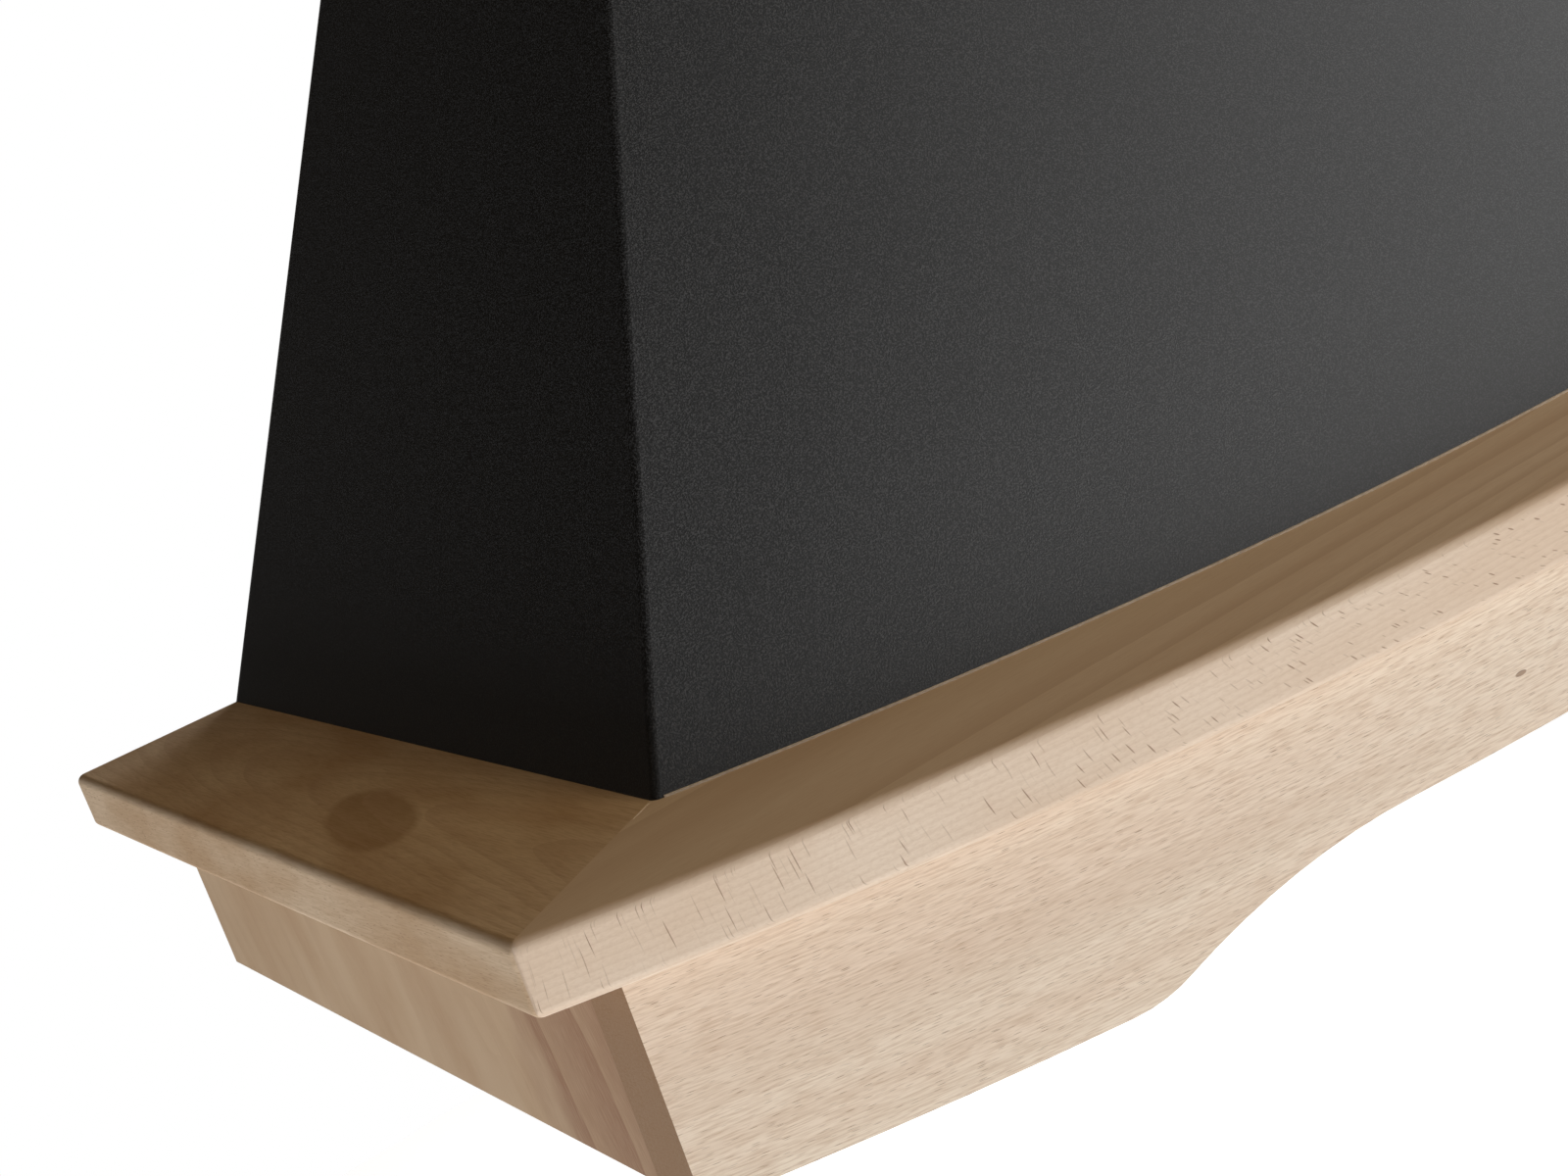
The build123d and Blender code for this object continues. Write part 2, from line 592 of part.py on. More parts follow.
# Scroll housing: two halves that meet on the middle plane, each with a round inlet
def draw_scroll(grow):
    """The scroll's outline in the current sketch: three growing quarter turns and an upright outlet."""
    low, high = -SCROLL_STEP / 2, SCROLL_STEP / 2
    first, second, third = (FAN_Y + low, FAN_Z + low), (FAN_Y + high, FAN_Z + low), (FAN_Y + high, FAN_Z + high)
    start = SCROLL_RADIUS + grow
    cut_back = asin(grow / start)
    rear = third[0] + start + 2 * SCROLL_STEP
    tongue_foot = (first[0] - grow, first[1] + start * cos(cut_back))
    with BuildLine() as outline:
        CenterArc(first, start, 90 + degrees(cut_back), 90 - degrees(cut_back))
        CenterArc(second, start + SCROLL_STEP, 180, 90)
        CenterArc(third, start + 2 * SCROLL_STEP, 270, 90)
        Polyline((rear, third[1]), (rear, PLATE_BASE), (tongue_foot[0], PLATE_BASE), tongue_foot)
    make_face(outline.edges())


for side, name in ((-1, "scroll_left"), (1, "scroll_right")):
    with BuildPart() as scroll:
        with BuildSketch(Plane.YZ):
            draw_scroll(SCROLL_WALL)
        extrude(amount=side * SCROLL_SIDE)
        with BuildSketch(Plane.YZ):
            draw_scroll(0)
        extrude(amount=side * SCROLL_HALF_WIDTH, mode=Mode.SUBTRACT)
        with BuildSketch(Plane.YZ.offset(side * SCROLL_SIDE)):
            with Locations((FAN_Y, FAN_Z)):
                Circle(INLET_RADIUS + SCROLL_WALL)
        extrude(amount=-side * (INLET_LIP + SCROLL_WALL))
        with BuildSketch(Plane.YZ.offset(side * SCROLL_SIDE)):
            with Locations((FAN_Y, FAN_Z)):
                Circle(INLET_RADIUS)
        extrude(amount=-side * (INLET_LIP + 2 * SCROLL_WALL), mode=Mode.SUBTRACT)
        with BuildSketch(Plane.XY.offset(PLATE_BASE)):
            with Locations((0, OUTLET_Y)):
                flange_depth = -TONGUE_Y - SCROLL_BACK + 2 * SCROLL_WALL
                Rectangle(2 * (SCROLL_SIDE + SCROLL_FLANGE), flange_depth)
                Rectangle(2 * SCROLL_HALF_WIDTH, flange_depth - 2 * SCROLL_WALL, mode=Mode.SUBTRACT)
            Rectangle(
                HALF,
                2 * LEDGE_SIDE_DEPTH,
                align=(Align.MIN if side > 0 else Align.MAX, Align.CENTER),
                mode=Mode.INTERSECT,
            )
        extrude(amount=-SCROLL_FLANGE_THICK)
        cut_screw_holes(BLOWER_SCREW_SPOTS)
    finish(scroll, name)

# Impeller: a centre disc with forward-curved blades on both sides, tied by a rim at each end
ROOT_RADIUS = IMPELLER_RADIUS - BLADE_DEPTH
BLADE_STEP = 360 / BLADE_COUNT
DISC_HALF = DISC_THICK / 2
SHAFT_BORE = SHAFT_RADIUS + RUN / 2


def polar(radius, angle):
    """A point at a radius and an angle in degrees."""
    return radius * cos(radians(angle)), radius * sin(radians(angle))


def draw_blades(turn):
    """A ring of curved blade sections round the fan's axis, in the current sketch."""
    width = degrees(BLADE_THICK / IMPELLER_RADIUS)
    middle = (ROOT_RADIUS + IMPELLER_RADIUS) / 2
    with Locations((FAN_Y, FAN_Z)):
        with PolarLocations(0, BLADE_COUNT, start_angle=turn):
            with BuildSketch(mode=Mode.PRIVATE) as blade:
                with BuildLine():
                    root, tip = polar(ROOT_RADIUS, 0), polar(IMPELLER_RADIUS, BLADE_LEAD)
                    root_back, tip_back = polar(ROOT_RADIUS, width), polar(IMPELLER_RADIUS, BLADE_LEAD + width)
                    ThreePointArc(root, polar(middle, BLADE_LEAD / 4), tip)
                    Line(tip, tip_back)
                    ThreePointArc(tip_back, polar(middle, BLADE_LEAD / 4 + width), root_back)
                    Line(root_back, root)
                make_face()
            add(blade.sketch)


with BuildPart() as impeller:
    with BuildSketch(Plane.YZ.offset(-DISC_HALF)):
        with Locations((FAN_Y, FAN_Z)):
            Circle(IMPELLER_RADIUS)
    extrude(amount=DISC_THICK)
    with BuildSketch(Plane.YZ):
        draw_blades(0)
    extrude(amount=IMPELLER_HALF_WIDTH)
    with BuildSketch(Plane.YZ):
        draw_blades(BLADE_STEP / 2)
    extrude(amount=-IMPELLER_HALF_WIDTH)
    for end in (-1, 1):
        with BuildSketch(Plane.YZ.offset(end * IMPELLER_HALF_WIDTH)):
            with Locations((FAN_Y, FAN_Z)):
                Circle(IMPELLER_RADIUS + BLADE_THICK)
                Circle(IMPELLER_RADIUS - RIM_WIDTH, mode=Mode.SUBTRACT)
        extrude(amount=-end * RIM_WIDTH)
    with BuildSketch(Plane.YZ.offset(-DISC_HALF - HUB_LENGTH)):
        with Locations((FAN_Y, FAN_Z)):
            Circle(HUB_RADIUS)
    extrude(amount=HUB_LENGTH + DISC_THICK + MOTOR_GAP / 2)
    with BuildSketch(Plane.YZ.offset(-IMPELLER_HALF_WIDTH)):
        with Locations((FAN_Y, FAN_Z)):
            Circle(SHAFT_BORE)
    extrude(amount=2 * IMPELLER_HALF_WIDTH, mode=Mode.SUBTRACT)
finish(impeller, "impeller")

HUB_END = -DISC_HALF - HUB_LENGTH
NUT_END = HUB_END - NUT_HEIGHT
with BuildPart() as impeller_nut:
    with BuildSketch(Plane.YZ.offset(NUT_END)):
        with Locations((FAN_Y, FAN_Z)):
            RegularPolygon(NUT_FLATS / 2, 6, major_radius=False)
            Circle(SHAFT_BORE, mode=Mode.SUBTRACT)
    extrude(amount=NUT_HEIGHT)
finish(impeller_nut, "impeller_nut")

# Motor inside one half of the impeller, with its shaft, two bearings and a three-armed spider
MOTOR_START = DISC_HALF + MOTOR_GAP
MOTOR_END = MOTOR_START + MOTOR_LENGTH
with BuildPart() as motor_shaft:
    with BuildSketch(Plane.YZ.offset(NUT_END - SHAFT_RADIUS)):
        with Locations((FAN_Y, FAN_Z)):
            Circle(SHAFT_RADIUS)
    extrude(amount=MOTOR_END - FIT - NUT_END + SHAFT_RADIUS)
finish(motor_shaft, "motor_shaft")

with BuildPart() as motor_can:
    with BuildSketch(Plane.YZ.offset(MOTOR_START)):
        with Locations((FAN_Y, FAN_Z)):
            Circle(MOTOR_RADIUS)
            Circle(SHAFT_RADIUS + 1, mode=Mode.SUBTRACT)
    extrude(amount=MOTOR_LENGTH)
    for start, length in ((MOTOR_START, BEARING_WIDTH), (MOTOR_END, -BEARING_WIDTH)):
        with BuildSketch(Plane.YZ.offset(start)):
            with Locations((FAN_Y, FAN_Z)):
                Circle(BEARING_RADIUS + RUN / 2)
        extrude(amount=length, mode=Mode.SUBTRACT)
    chamfer(motor_can.edges().filter_by(GeomType.CIRCLE).sort_by(SortBy.RADIUS)[-2:], MOTOR_EASE)
finish(motor_can, "motor_can")

with BuildPart() as motor_bearings:
    for start, length in ((MOTOR_START, BEARING_WIDTH), (MOTOR_END, -BEARING_WIDTH)):
        with BuildSketch(Plane.YZ.offset(start)):
            with Locations((FAN_Y, FAN_Z)):
                Circle(BEARING_RADIUS)
                Circle(SHAFT_RADIUS + RUN, mode=Mode.SUBTRACT)
        extrude(amount=length)
finish(motor_bearings, "motor_bearings")

SPIDER_OUTSIDE = INLET_RADIUS + SCROLL_WALL + SPIDER_RING
with BuildPart() as motor_spider:
    with BuildSketch(Plane.YZ.offset(SCROLL_SIDE)):
        with Locations((FAN_Y, FAN_Z)):
            Circle(SPIDER_OUTSIDE)
            Circle(SPIDER_OUTSIDE - SPIDER_RING, mode=Mode.SUBTRACT)
            with PolarLocations(0, 3, start_angle=90):
                Rectangle(SPIDER_OUTSIDE - SPIDER_RING / 2, SPIDER_ARM, align=(Align.MIN, Align.CENTER))
            Circle(SPIDER_HUB_RADIUS)
    extrude(amount=SPIDER_THICK)
    with BuildSketch(Plane.YZ.offset(MOTOR_END)):
        with Locations((FAN_Y, FAN_Z)):
            Circle(SPIDER_HUB_RADIUS)
            Circle(BEARING_RADIUS + 1, mode=Mode.SUBTRACT)
    extrude(amount=SCROLL_SIDE - MOTOR_END)
finish(motor_spider, "motor_spider")

# Outlet collar with a seat for two half-round flaps on one pin
FLAP_BASE = PLATE_TOP + FLAP_SEAT_RISE + FLAP_SEAT_THICK + FIT
KNUCKLE_RADIUS = FLAP_PIN_RADIUS + 2 * RUN + KNUCKLE_WALL
PIN_Z = FLAP_BASE + KNUCKLE_RADIUS
COLLAR_BORE = COLLAR_RADIUS - COLLAR_WALL
with BuildPart() as outlet_collar:
    with Locations((0, OUTLET_Y, PLATE_TOP)):
        Cylinder(COLLAR_RADIUS + COLLAR_FLANGE, COLLAR_FLANGE_THICK, align=LOW)
        Cylinder(COLLAR_RADIUS, COLLAR_HEIGHT, align=LOW)
        Cylinder(COLLAR_BORE, 2 * COLLAR_HEIGHT + PAST, mode=Mode.SUBTRACT)
    with BuildSketch(Plane.XY.offset(PLATE_TOP + FLAP_SEAT_RISE)):
        with Locations((0, OUTLET_Y)):
            Circle(COLLAR_BORE + COLLAR_WALL / 2)
            Circle(COLLAR_BORE - FLAP_SEAT, mode=Mode.SUBTRACT)
    extrude(amount=FLAP_SEAT_THICK)
    with Locations(Location((0, OUTLET_Y, PIN_Z), (0, 90, 0))):
        Cylinder(FLAP_PIN_RADIUS + RUN, 4 * COLLAR_RADIUS, mode=Mode.SUBTRACT)
finish(outlet_collar, "outlet_collar")

with BuildPart() as flap_pin:
    with Locations(Location((0, OUTLET_Y, PIN_Z), (0, 90, 0))):
        Cylinder(FLAP_PIN_RADIUS, 2 * COLLAR_RADIUS - FIT)
finish(flap_pin, "flap_pin")

FLAP_RADIUS = COLLAR_BORE - FLAP_CLEAR
FLAP_EDGE = KNUCKLE_RADIUS + FIT
for away, name, places in ((-1, "flap_front", (-1.5, 0.5)), (1, "flap_rear", (-0.5, 1.5))):
    with BuildPart() as flap:
        with BuildSketch(Plane.XY.offset(FLAP_BASE)):
            with Locations((0, OUTLET_Y)):
                Circle(FLAP_RADIUS)
                Rectangle(2 * COLLAR_RADIUS, 2 * FLAP_EDGE, mode=Mode.SUBTRACT)
                Rectangle(
                    2 * COLLAR_RADIUS,
                    COLLAR_RADIUS,
                    align=(Align.CENTER, Align.MIN if away > 0 else Align.MAX),
                    mode=Mode.INTERSECT,
                )
            for place in places:
                with Locations((place * (KNUCKLE_LENGTH + FIT), OUTLET_Y)):
                    Rectangle(
                        KNUCKLE_LENGTH,
                        2 * FLAP_EDGE,
                        align=(Align.CENTER, Align.MIN if away > 0 else Align.MAX),
                    )
        extrude(amount=FLAP_THICK)
        for place in places:
            with Locations(Location((place * (KNUCKLE_LENGTH + FIT), OUTLET_Y, PIN_Z), (0, 90, 0))):
                Cylinder(KNUCKLE_RADIUS, KNUCKLE_LENGTH)
        with Locations(Location((0, OUTLET_Y, PIN_Z), (0, 90, 0))):
            Cylinder(FLAP_PIN_RADIUS + 2 * RUN, 4 * COLLAR_RADIUS, mode=Mode.SUBTRACT)
    finish(flap, name)

# Underside pan: a tray inside the aprons with two filter seats, two lamp holes and a button slot
FILTER_FRONT = -(LEDGE_SIDE_DEPTH - FRONT_STRIP)
FILTER_DEPTH = -FILTER_FRONT - FILTER_BACK
FILTER_MIDDLE = -(FILTER_BACK + FILTER_DEPTH / 2)
FILTER_X = (FILTER_WIDTH + FILTER_APART) / 2
LAMP_Y = FILTER_FRONT - LAMP_MARGIN - LAMP_BEZEL_RADIUS
BUTTON_Y = front_at(0, APRON_BACK_RADIUS) + FASCIA_FROM_FRONT
BUTTON_NAMES = ("button_light", "button_stop", "button_speed_1", "button_speed_2", "button_speed_3")
BUTTON_ROW = BUTTON_PITCH * (len(BUTTON_NAMES) - 1) + BUTTON_WIDTH
SEAT_BASE = PAN_BASE + FILTER_THICK + FIT
OPENING = (FILTER_WIDTH + 2 * FILTER_CLEAR, FILTER_DEPTH + 2 * FILTER_CLEAR)
BUTTON_SLOT = (BUTTON_ROW + 2 * (BUTTON_LIP + FIT), BUTTON_DEPTH + 2 * (BUTTON_LIP + FIT))

with BuildPart() as bottom_pan:
    with BuildSketch(Plane.XY.offset(PAN_BASE)):
        draw_plan(PAN_PLAN, BACK_FACE - FIT)
    extrude(amount=PAN_FLANGE)
    with BuildSketch(Plane.XY.offset(PAN_TOP)):
        draw_plan(inset_plan(PAN_PLAN, SHEET, SHEET), BACK_FACE - FIT - SHEET)
    extrude(amount=PAN_FLANGE, mode=Mode.SUBTRACT)
    for side in (-1, 1):
        middle = (side * FILTER_X, FILTER_MIDDLE)
        with BuildSketch(Plane.XY.offset(PAN_BASE)):
            with Locations(middle):
                Rectangle(OPENING[0] + 2 * SHEET, OPENING[1] + 2 * SHEET)
        extrude(amount=FILTER_THICK + FIT + SHEET)
        with BuildSketch(Plane.XY.offset(PAN_BASE)):
            with Locations(middle):
                Rectangle(*OPENING)
        extrude(amount=FILTER_THICK + FIT, mode=Mode.SUBTRACT)
        with BuildSketch(Plane.XY.offset(PAN_BASE)):
            with Locations(middle):
                Rectangle(FILTER_WIDTH - 2 * FILTER_SEAT, FILTER_DEPTH - 2 * FILTER_SEAT)
        extrude(amount=2 * FILTER_THICK, mode=Mode.SUBTRACT)
        with BuildSketch(Plane.XY.offset(PAN_TOP)):
            with Locations((side * FILTER_X, -FILTER_BACK + FILTER_CLEAR + SHEET / 2)):
                with GridLocations(TAB_SPACING, 1, 2, 1):
                    Rectangle(TAB_WIDTH + 4 * FIT, SHEET + FIT)
        extrude(amount=TAB_SLOT_HEIGHT, mode=Mode.SUBTRACT)
        with Locations((side * LAMP_X, LAMP_Y, PAN_BASE)):
            Cylinder(LAMP_HOLE_RADIUS, 4 * SHEET, mode=Mode.SUBTRACT)
    with Locations((0, BUTTON_Y, PAN_BASE)):
        Box(*BUTTON_SLOT, 4 * SHEET, mode=Mode.SUBTRACT)
    cut_screw_holes(PAN_SCREW_SPOTS)
finish(bottom_pan, "bottom_pan")

with BuildPart() as pan_screws:
    add_screws(PAN_SCREW_SPOTS)
finish(pan_screws, "pan_screws")

with BuildPart() as filter_springs:
    for side in (-1, 1):
        with Locations((side * FILTER_X, FILTER_FRONT - FILTER_CLEAR + SPRING_THICK / 2, PAN_TOP)):
            with GridLocations(TAB_SPACING, 1, 2, 1):
                Box(SPRING_WIDTH, SPRING_THICK, FILTER_THICK - SHEET, align=LOW)
finish(filter_springs, "filter_springs")

# Grease filters: a channelled frame with rear tabs, an expanded net inside it and a wire bail
HANDLE_Y = FILTER_FRONT + FILTER_BORDER / 2
HANDLE_Z = PAN_BASE - EAR_SIZE / 2
CHANNEL = FILTER_THICK - 2 * FILTER_SKIN
NET_WIDTH = FILTER_WIDTH - 2 * (FILTER_BORDER - NET_TUCK)
NET_DEPTH = FILTER_DEPTH - 2 * (FILTER_BORDER - NET_TUCK)
WINDOW_WIDTH = FILTER_WIDTH - 2 * FILTER_BORDER
WINDOW_DEPTH = FILTER_DEPTH - 2 * FILTER_BORDER
NET_COLUMNS = int(WINDOW_WIDTH / NET_PITCH_X)
NET_ROWS = int(WINDOW_DEPTH / NET_PITCH_Y)
GAP_X = NET_PITCH_X / 2 - NET_STRAND
GAP_Y = NET_PITCH_Y / 2 - NET_STRAND / 2

for side, word in ((-1, "left"), (1, "right")):
    middle = (side * FILTER_X, FILTER_MIDDLE)
    with BuildPart() as filter_frame:
        with BuildSketch(Plane.XY.offset(PAN_BASE)):
            with Locations(middle):
                Rectangle(FILTER_WIDTH, FILTER_DEPTH)
                Rectangle(WINDOW_WIDTH, WINDOW_DEPTH, mode=Mode.SUBTRACT)
        extrude(amount=FILTER_THICK)
        with BuildSketch(Plane.XY.offset(PAN_BASE + FILTER_SKIN)):
            with Locations(middle):
                Rectangle(FILTER_WIDTH - 2 * FILTER_SKIN, FILTER_DEPTH - 2 * FILTER_SKIN)
        extrude(amount=CHANNEL, mode=Mode.SUBTRACT)
        with Locations((side * FILTER_X, -FILTER_BACK - FILTER_SKIN, PAN_TOP + FIT)):
            with GridLocations(TAB_SPACING, 1, 2, 1):
                Box(
                    TAB_WIDTH,
                    TAB_LENGTH + FILTER_SKIN,
                    TAB_THICK,
                    align=(Align.CENTER, Align.MIN, Align.MIN),
                )
        with Locations((side * FILTER_X, HANDLE_Y, PAN_BASE)):
            with GridLocations(HANDLE_WIDTH, 1, 2, 1):
                Box(EAR_SIZE, EAR_SIZE, EAR_SIZE, align=HIGH)
        with Locations(Location((side * FILTER_X, HANDLE_Y, HANDLE_Z), (0, 90, 0))):
            Cylinder(HANDLE_WIRE + 2 * RUN, 2 * HANDLE_WIDTH, mode=Mode.SUBTRACT)
    finish(filter_frame, f"filter_frame_{word}")

    with BuildPart() as filter_net:
        with BuildSketch(Plane.XY.offset(PAN_BASE + FILTER_SKIN + FIT)):
            with Locations(middle):
                Rectangle(NET_WIDTH, NET_DEPTH)
                with GridLocations(NET_PITCH_X, NET_PITCH_Y, NET_COLUMNS, NET_ROWS):
                    Polygon((-GAP_X, 0), (0, -GAP_Y), (GAP_X, 0), (0, GAP_Y), mode=Mode.SUBTRACT)
                with GridLocations(NET_PITCH_X, NET_PITCH_Y, NET_COLUMNS - 1, NET_ROWS - 1):
                    Polygon((-GAP_X, 0), (0, -GAP_Y), (GAP_X, 0), (0, GAP_Y), mode=Mode.SUBTRACT)
        extrude(amount=CHANNEL - 2 * FIT)
    finish(filter_net, f"filter_net_{word}")

    with BuildPart() as filter_handle:
        with BuildLine() as bail:
            arm_x = HANDLE_WIDTH / 2 - EAR_SIZE / 2 - HANDLE_BEND - FIT
            end_x = HANDLE_WIDTH / 2 + EAR_SIZE / 2
            low_z = HANDLE_Z - HANDLE_DROP
            middle_x = side * FILTER_X
            FilletPolyline(
                (middle_x - end_x, HANDLE_Y, HANDLE_Z),
                (middle_x - arm_x, HANDLE_Y, HANDLE_Z),
                (middle_x - arm_x, HANDLE_Y, low_z),
                (middle_x + arm_x, HANDLE_Y, low_z),
                (middle_x + arm_x, HANDLE_Y, HANDLE_Z),
                (middle_x + end_x, HANDLE_Y, HANDLE_Z),
                radius=HANDLE_BEND,
            )
        with BuildSketch(Plane(origin=bail.line @ 0, z_dir=bail.line % 0)):
            RegularPolygon(HANDLE_WIRE, HANDLE_FLATS)
        sweep()
    finish(filter_handle, f"filter_handle_{word}")

# Lamps: a bezel under the pan, a frosted lens in it and a can above it
LENS_BASE = PAN_BASE - LAMP_BEZEL_THICK
SPIGOT_RADIUS = LAMP_HOLE_RADIUS - FIT
LENS_BORE = LAMP_LENS_RADIUS + FIT
CAN_BASE = PAN_TOP + SHEET
for side, word in ((-1, "left"), (1, "right")):
    with BuildPart() as lamp_bezel:
        with Locations((side * LAMP_X, LAMP_Y, PAN_BASE)):
            Cylinder(LAMP_BEZEL_RADIUS, LAMP_BEZEL_THICK, align=HIGH)
        chamfer(lamp_bezel.edges().sort_by(Axis.Z)[0], LAMP_BEZEL_THICK / 2)
        with Locations((side * LAMP_X, LAMP_Y, PAN_BASE)):
            Cylinder(SPIGOT_RADIUS, CAN_BASE - PAN_BASE, align=LOW)
            Cylinder(LENS_BORE - 2 * FIT - SHEET, 4 * LAMP_BEZEL_THICK, mode=Mode.SUBTRACT)
        with Locations((side * LAMP_X, LAMP_Y, LENS_BASE + SHEET / 2)):
            Cylinder(LENS_BORE, 2 * LAMP_BEZEL_THICK + 4 * SHEET, align=LOW, mode=Mode.SUBTRACT)
    finish(lamp_bezel, f"lamp_bezel_{word}")

    with BuildPart() as lamp_lens:
        with Locations((side * LAMP_X, LAMP_Y, LENS_BASE + SHEET / 2 + FIT)):
            Cylinder(LAMP_LENS_RADIUS, LAMP_LENS_THICK, align=LOW)
    finish(lamp_lens, f"lamp_lens_{word}")

    with BuildPart() as lamp_can:
        with Locations((side * LAMP_X, LAMP_Y, CAN_BASE)):
            Cylinder(SPIGOT_RADIUS, LAMP_CAN_HEIGHT, align=LOW)
    finish(lamp_can, f"lamp_can_{word}")

# Push buttons in a fascia under the pan, with a switch block above
FASCIA_WIDTH = BUTTON_SLOT[0] + 2 * FASCIA_MARGIN
FASCIA_DEPTH = BUTTON_SLOT[1] + 2 * FASCIA_MARGIN
with BuildPart() as control_fascia:
    with BuildSketch(Plane.XY.offset(PAN_BASE - FASCIA_THICK)):
        with Locations((0, BUTTON_Y)):
            RectangleRounded(FASCIA_WIDTH, FASCIA_DEPTH, FASCIA_MARGIN / 2)
            with GridLocations(BUTTON_PITCH, 1, len(BUTTON_NAMES), 1):
                Rectangle(BUTTON_WIDTH + 2 * FIT, BUTTON_DEPTH + 2 * FIT, mode=Mode.SUBTRACT)
    extrude(amount=FASCIA_THICK)
finish(control_fascia, "control_fascia")

LIP_BASE = PAN_BASE + FIT
POCKET = (BUTTON_WIDTH + 2 * (BUTTON_LIP + FIT), BUTTON_DEPTH + 2 * (BUTTON_LIP + FIT))
with BuildPart() as switch_block:
    with Locations((0, BUTTON_Y, PAN_TOP)):
        Box(FASCIA_WIDTH - FASCIA_MARGIN, FASCIA_DEPTH - FASCIA_MARGIN / 2, SWITCH_HEIGHT, align=LOW)
        with GridLocations(BUTTON_PITCH, 1, len(BUTTON_NAMES), 1):
            Box(*POCKET, 2 * (BUTTON_TRAVEL + BUTTON_LIP + FIT), mode=Mode.SUBTRACT)
finish(switch_block, "switch_block")

for number, name in enumerate(BUTTON_NAMES):
    button_x = BUTTON_PITCH * (number - (len(BUTTON_NAMES) - 1) / 2)
    with BuildPart() as button:
        with Locations((button_x, BUTTON_Y, LIP_BASE)):
            Box(BUTTON_WIDTH, BUTTON_DEPTH, FIT + FASCIA_THICK + BUTTON_STAND, align=HIGH)
        fillet(button.edges().filter_by(Axis.Z, reverse=True).group_by(Axis.Z)[0], BUTTON_ROUND)
        with Locations((button_x, BUTTON_Y, LIP_BASE)):
            Box(BUTTON_WIDTH + 2 * BUTTON_LIP, BUTTON_DEPTH + 2 * BUTTON_LIP, BUTTON_LIP, align=LOW)
    finish(button, name)

# Wiring box on the back plate, with its cover, terminal block and run capacitor
BOX_X = CANOPY_FOOT[0] - BOX_FROM_SIDE
BOX_MIDDLE = BOX_BASE + BOX_HEIGHT / 2
BOX_FRONT = BACK_FACE - BOX_DEPTH
with BuildPart() as wiring_box:
    with BuildSketch(Plane.XZ.offset(BACK_SHEET)):
        with Locations((BOX_X, BOX_MIDDLE)):
            RectangleRounded(BOX_WIDTH, BOX_HEIGHT, 2 * BOX_WALL)
    extrude(amount=BOX_DEPTH)
    with BuildSketch(Plane.XZ.offset(BACK_SHEET + BOX_WALL)):
        with Locations((BOX_X, BOX_MIDDLE)):
            RectangleRounded(BOX_WIDTH - 2 * BOX_WALL, BOX_HEIGHT - 2 * BOX_WALL, BOX_WALL)
    extrude(amount=BOX_DEPTH, mode=Mode.SUBTRACT)
    with Locations((BOX_X, BACK_FACE - BOX_DEPTH / 2, BOX_BASE + BOX_HEIGHT)):
        Cylinder(GROMMET_BORE, 4 * BOX_WALL, mode=Mode.SUBTRACT)
finish(wiring_box, "wiring_box")

with BuildPart() as wiring_cover:
    with BuildSketch(Plane.XZ.offset(-BOX_FRONT)):
        with Locations((BOX_X, BOX_MIDDLE)):
            RectangleRounded(BOX_WIDTH, BOX_HEIGHT, 2 * BOX_WALL)
    extrude(amount=BOX_WALL)
finish(wiring_cover, "wiring_cover")

FLOOR_Y = BACK_FACE - BOX_WALL
with BuildPart() as terminal_block:
    with Locations((BOX_X, FLOOR_Y, BOX_BASE + BOX_HEIGHT - 2 * BOX_WALL - TERMINAL_HEIGHT)):
        Box(
            TERMINAL_LENGTH,
            TERMINAL_DEPTH,
            TERMINAL_HEIGHT,
            align=(Align.CENTER, Align.MAX, Align.MIN),
        )
finish(terminal_block, "terminal_block")

with BuildPart() as run_capacitor:
    place = (BOX_X, FLOOR_Y - CAPACITOR_RADIUS, BOX_BASE + 2 * BOX_WALL + CAPACITOR_RADIUS)
    with Locations(Location(place, (0, 90, 0))):
        Cylinder(CAPACITOR_RADIUS, CAPACITOR_LENGTH)
finish(run_capacitor, "run_capacitor")
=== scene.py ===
"""Rustic wall range hood with a beech crown and a black steel canopy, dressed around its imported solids.

Metres, +Z up. The wall is the plane Y = 0, the front faces -Y, and Z = 0 is the top of the beech ledge.
"""

from math import atan2, radians

import bpy
from mathutils import Euler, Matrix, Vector


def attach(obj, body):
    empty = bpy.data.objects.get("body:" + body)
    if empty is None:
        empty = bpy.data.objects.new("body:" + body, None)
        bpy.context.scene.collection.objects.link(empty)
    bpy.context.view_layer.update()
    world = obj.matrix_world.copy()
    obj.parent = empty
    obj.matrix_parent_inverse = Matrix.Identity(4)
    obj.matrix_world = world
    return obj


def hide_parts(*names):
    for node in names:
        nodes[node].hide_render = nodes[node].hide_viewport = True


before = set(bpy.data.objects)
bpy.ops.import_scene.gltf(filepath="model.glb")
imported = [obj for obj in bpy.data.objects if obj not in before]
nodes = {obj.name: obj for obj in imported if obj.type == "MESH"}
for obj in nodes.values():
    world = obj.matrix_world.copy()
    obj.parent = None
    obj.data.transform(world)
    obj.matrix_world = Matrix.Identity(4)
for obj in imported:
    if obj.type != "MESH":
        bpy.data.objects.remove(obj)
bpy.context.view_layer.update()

# Ledge: three planed beech boards, 21 mm thick, mitred at the front corners and doweled down to the apron.
# Pale steamed beech under a matt clear lacquer. The bowed front is sawn across straight fibres at its ends,
# so its edge shows medullary rays as thin upright lines there, and as short dashes towards the middle.
RING_SPACING = 0.0021  # one year's growth
RAY_GAP = (0.0046, 0.0003, 0.02)  # between rays, along the grain, round the pith and away from it
RAY_BROWN = "#7d5c44"
END_BROWN = "#826142"  # of end grain, which drinks the lacquer
FIBRE_WIDTH = 0.0005  # drawn coarser than the real vessels, which are under 0.1 mm
FIBRE_DRAW = 0.06  # how little a fibre changes along the grain
BAND_WIDTH = 0.024
STRAY_LENGTH = 0.045  # over which the grain strays from its line
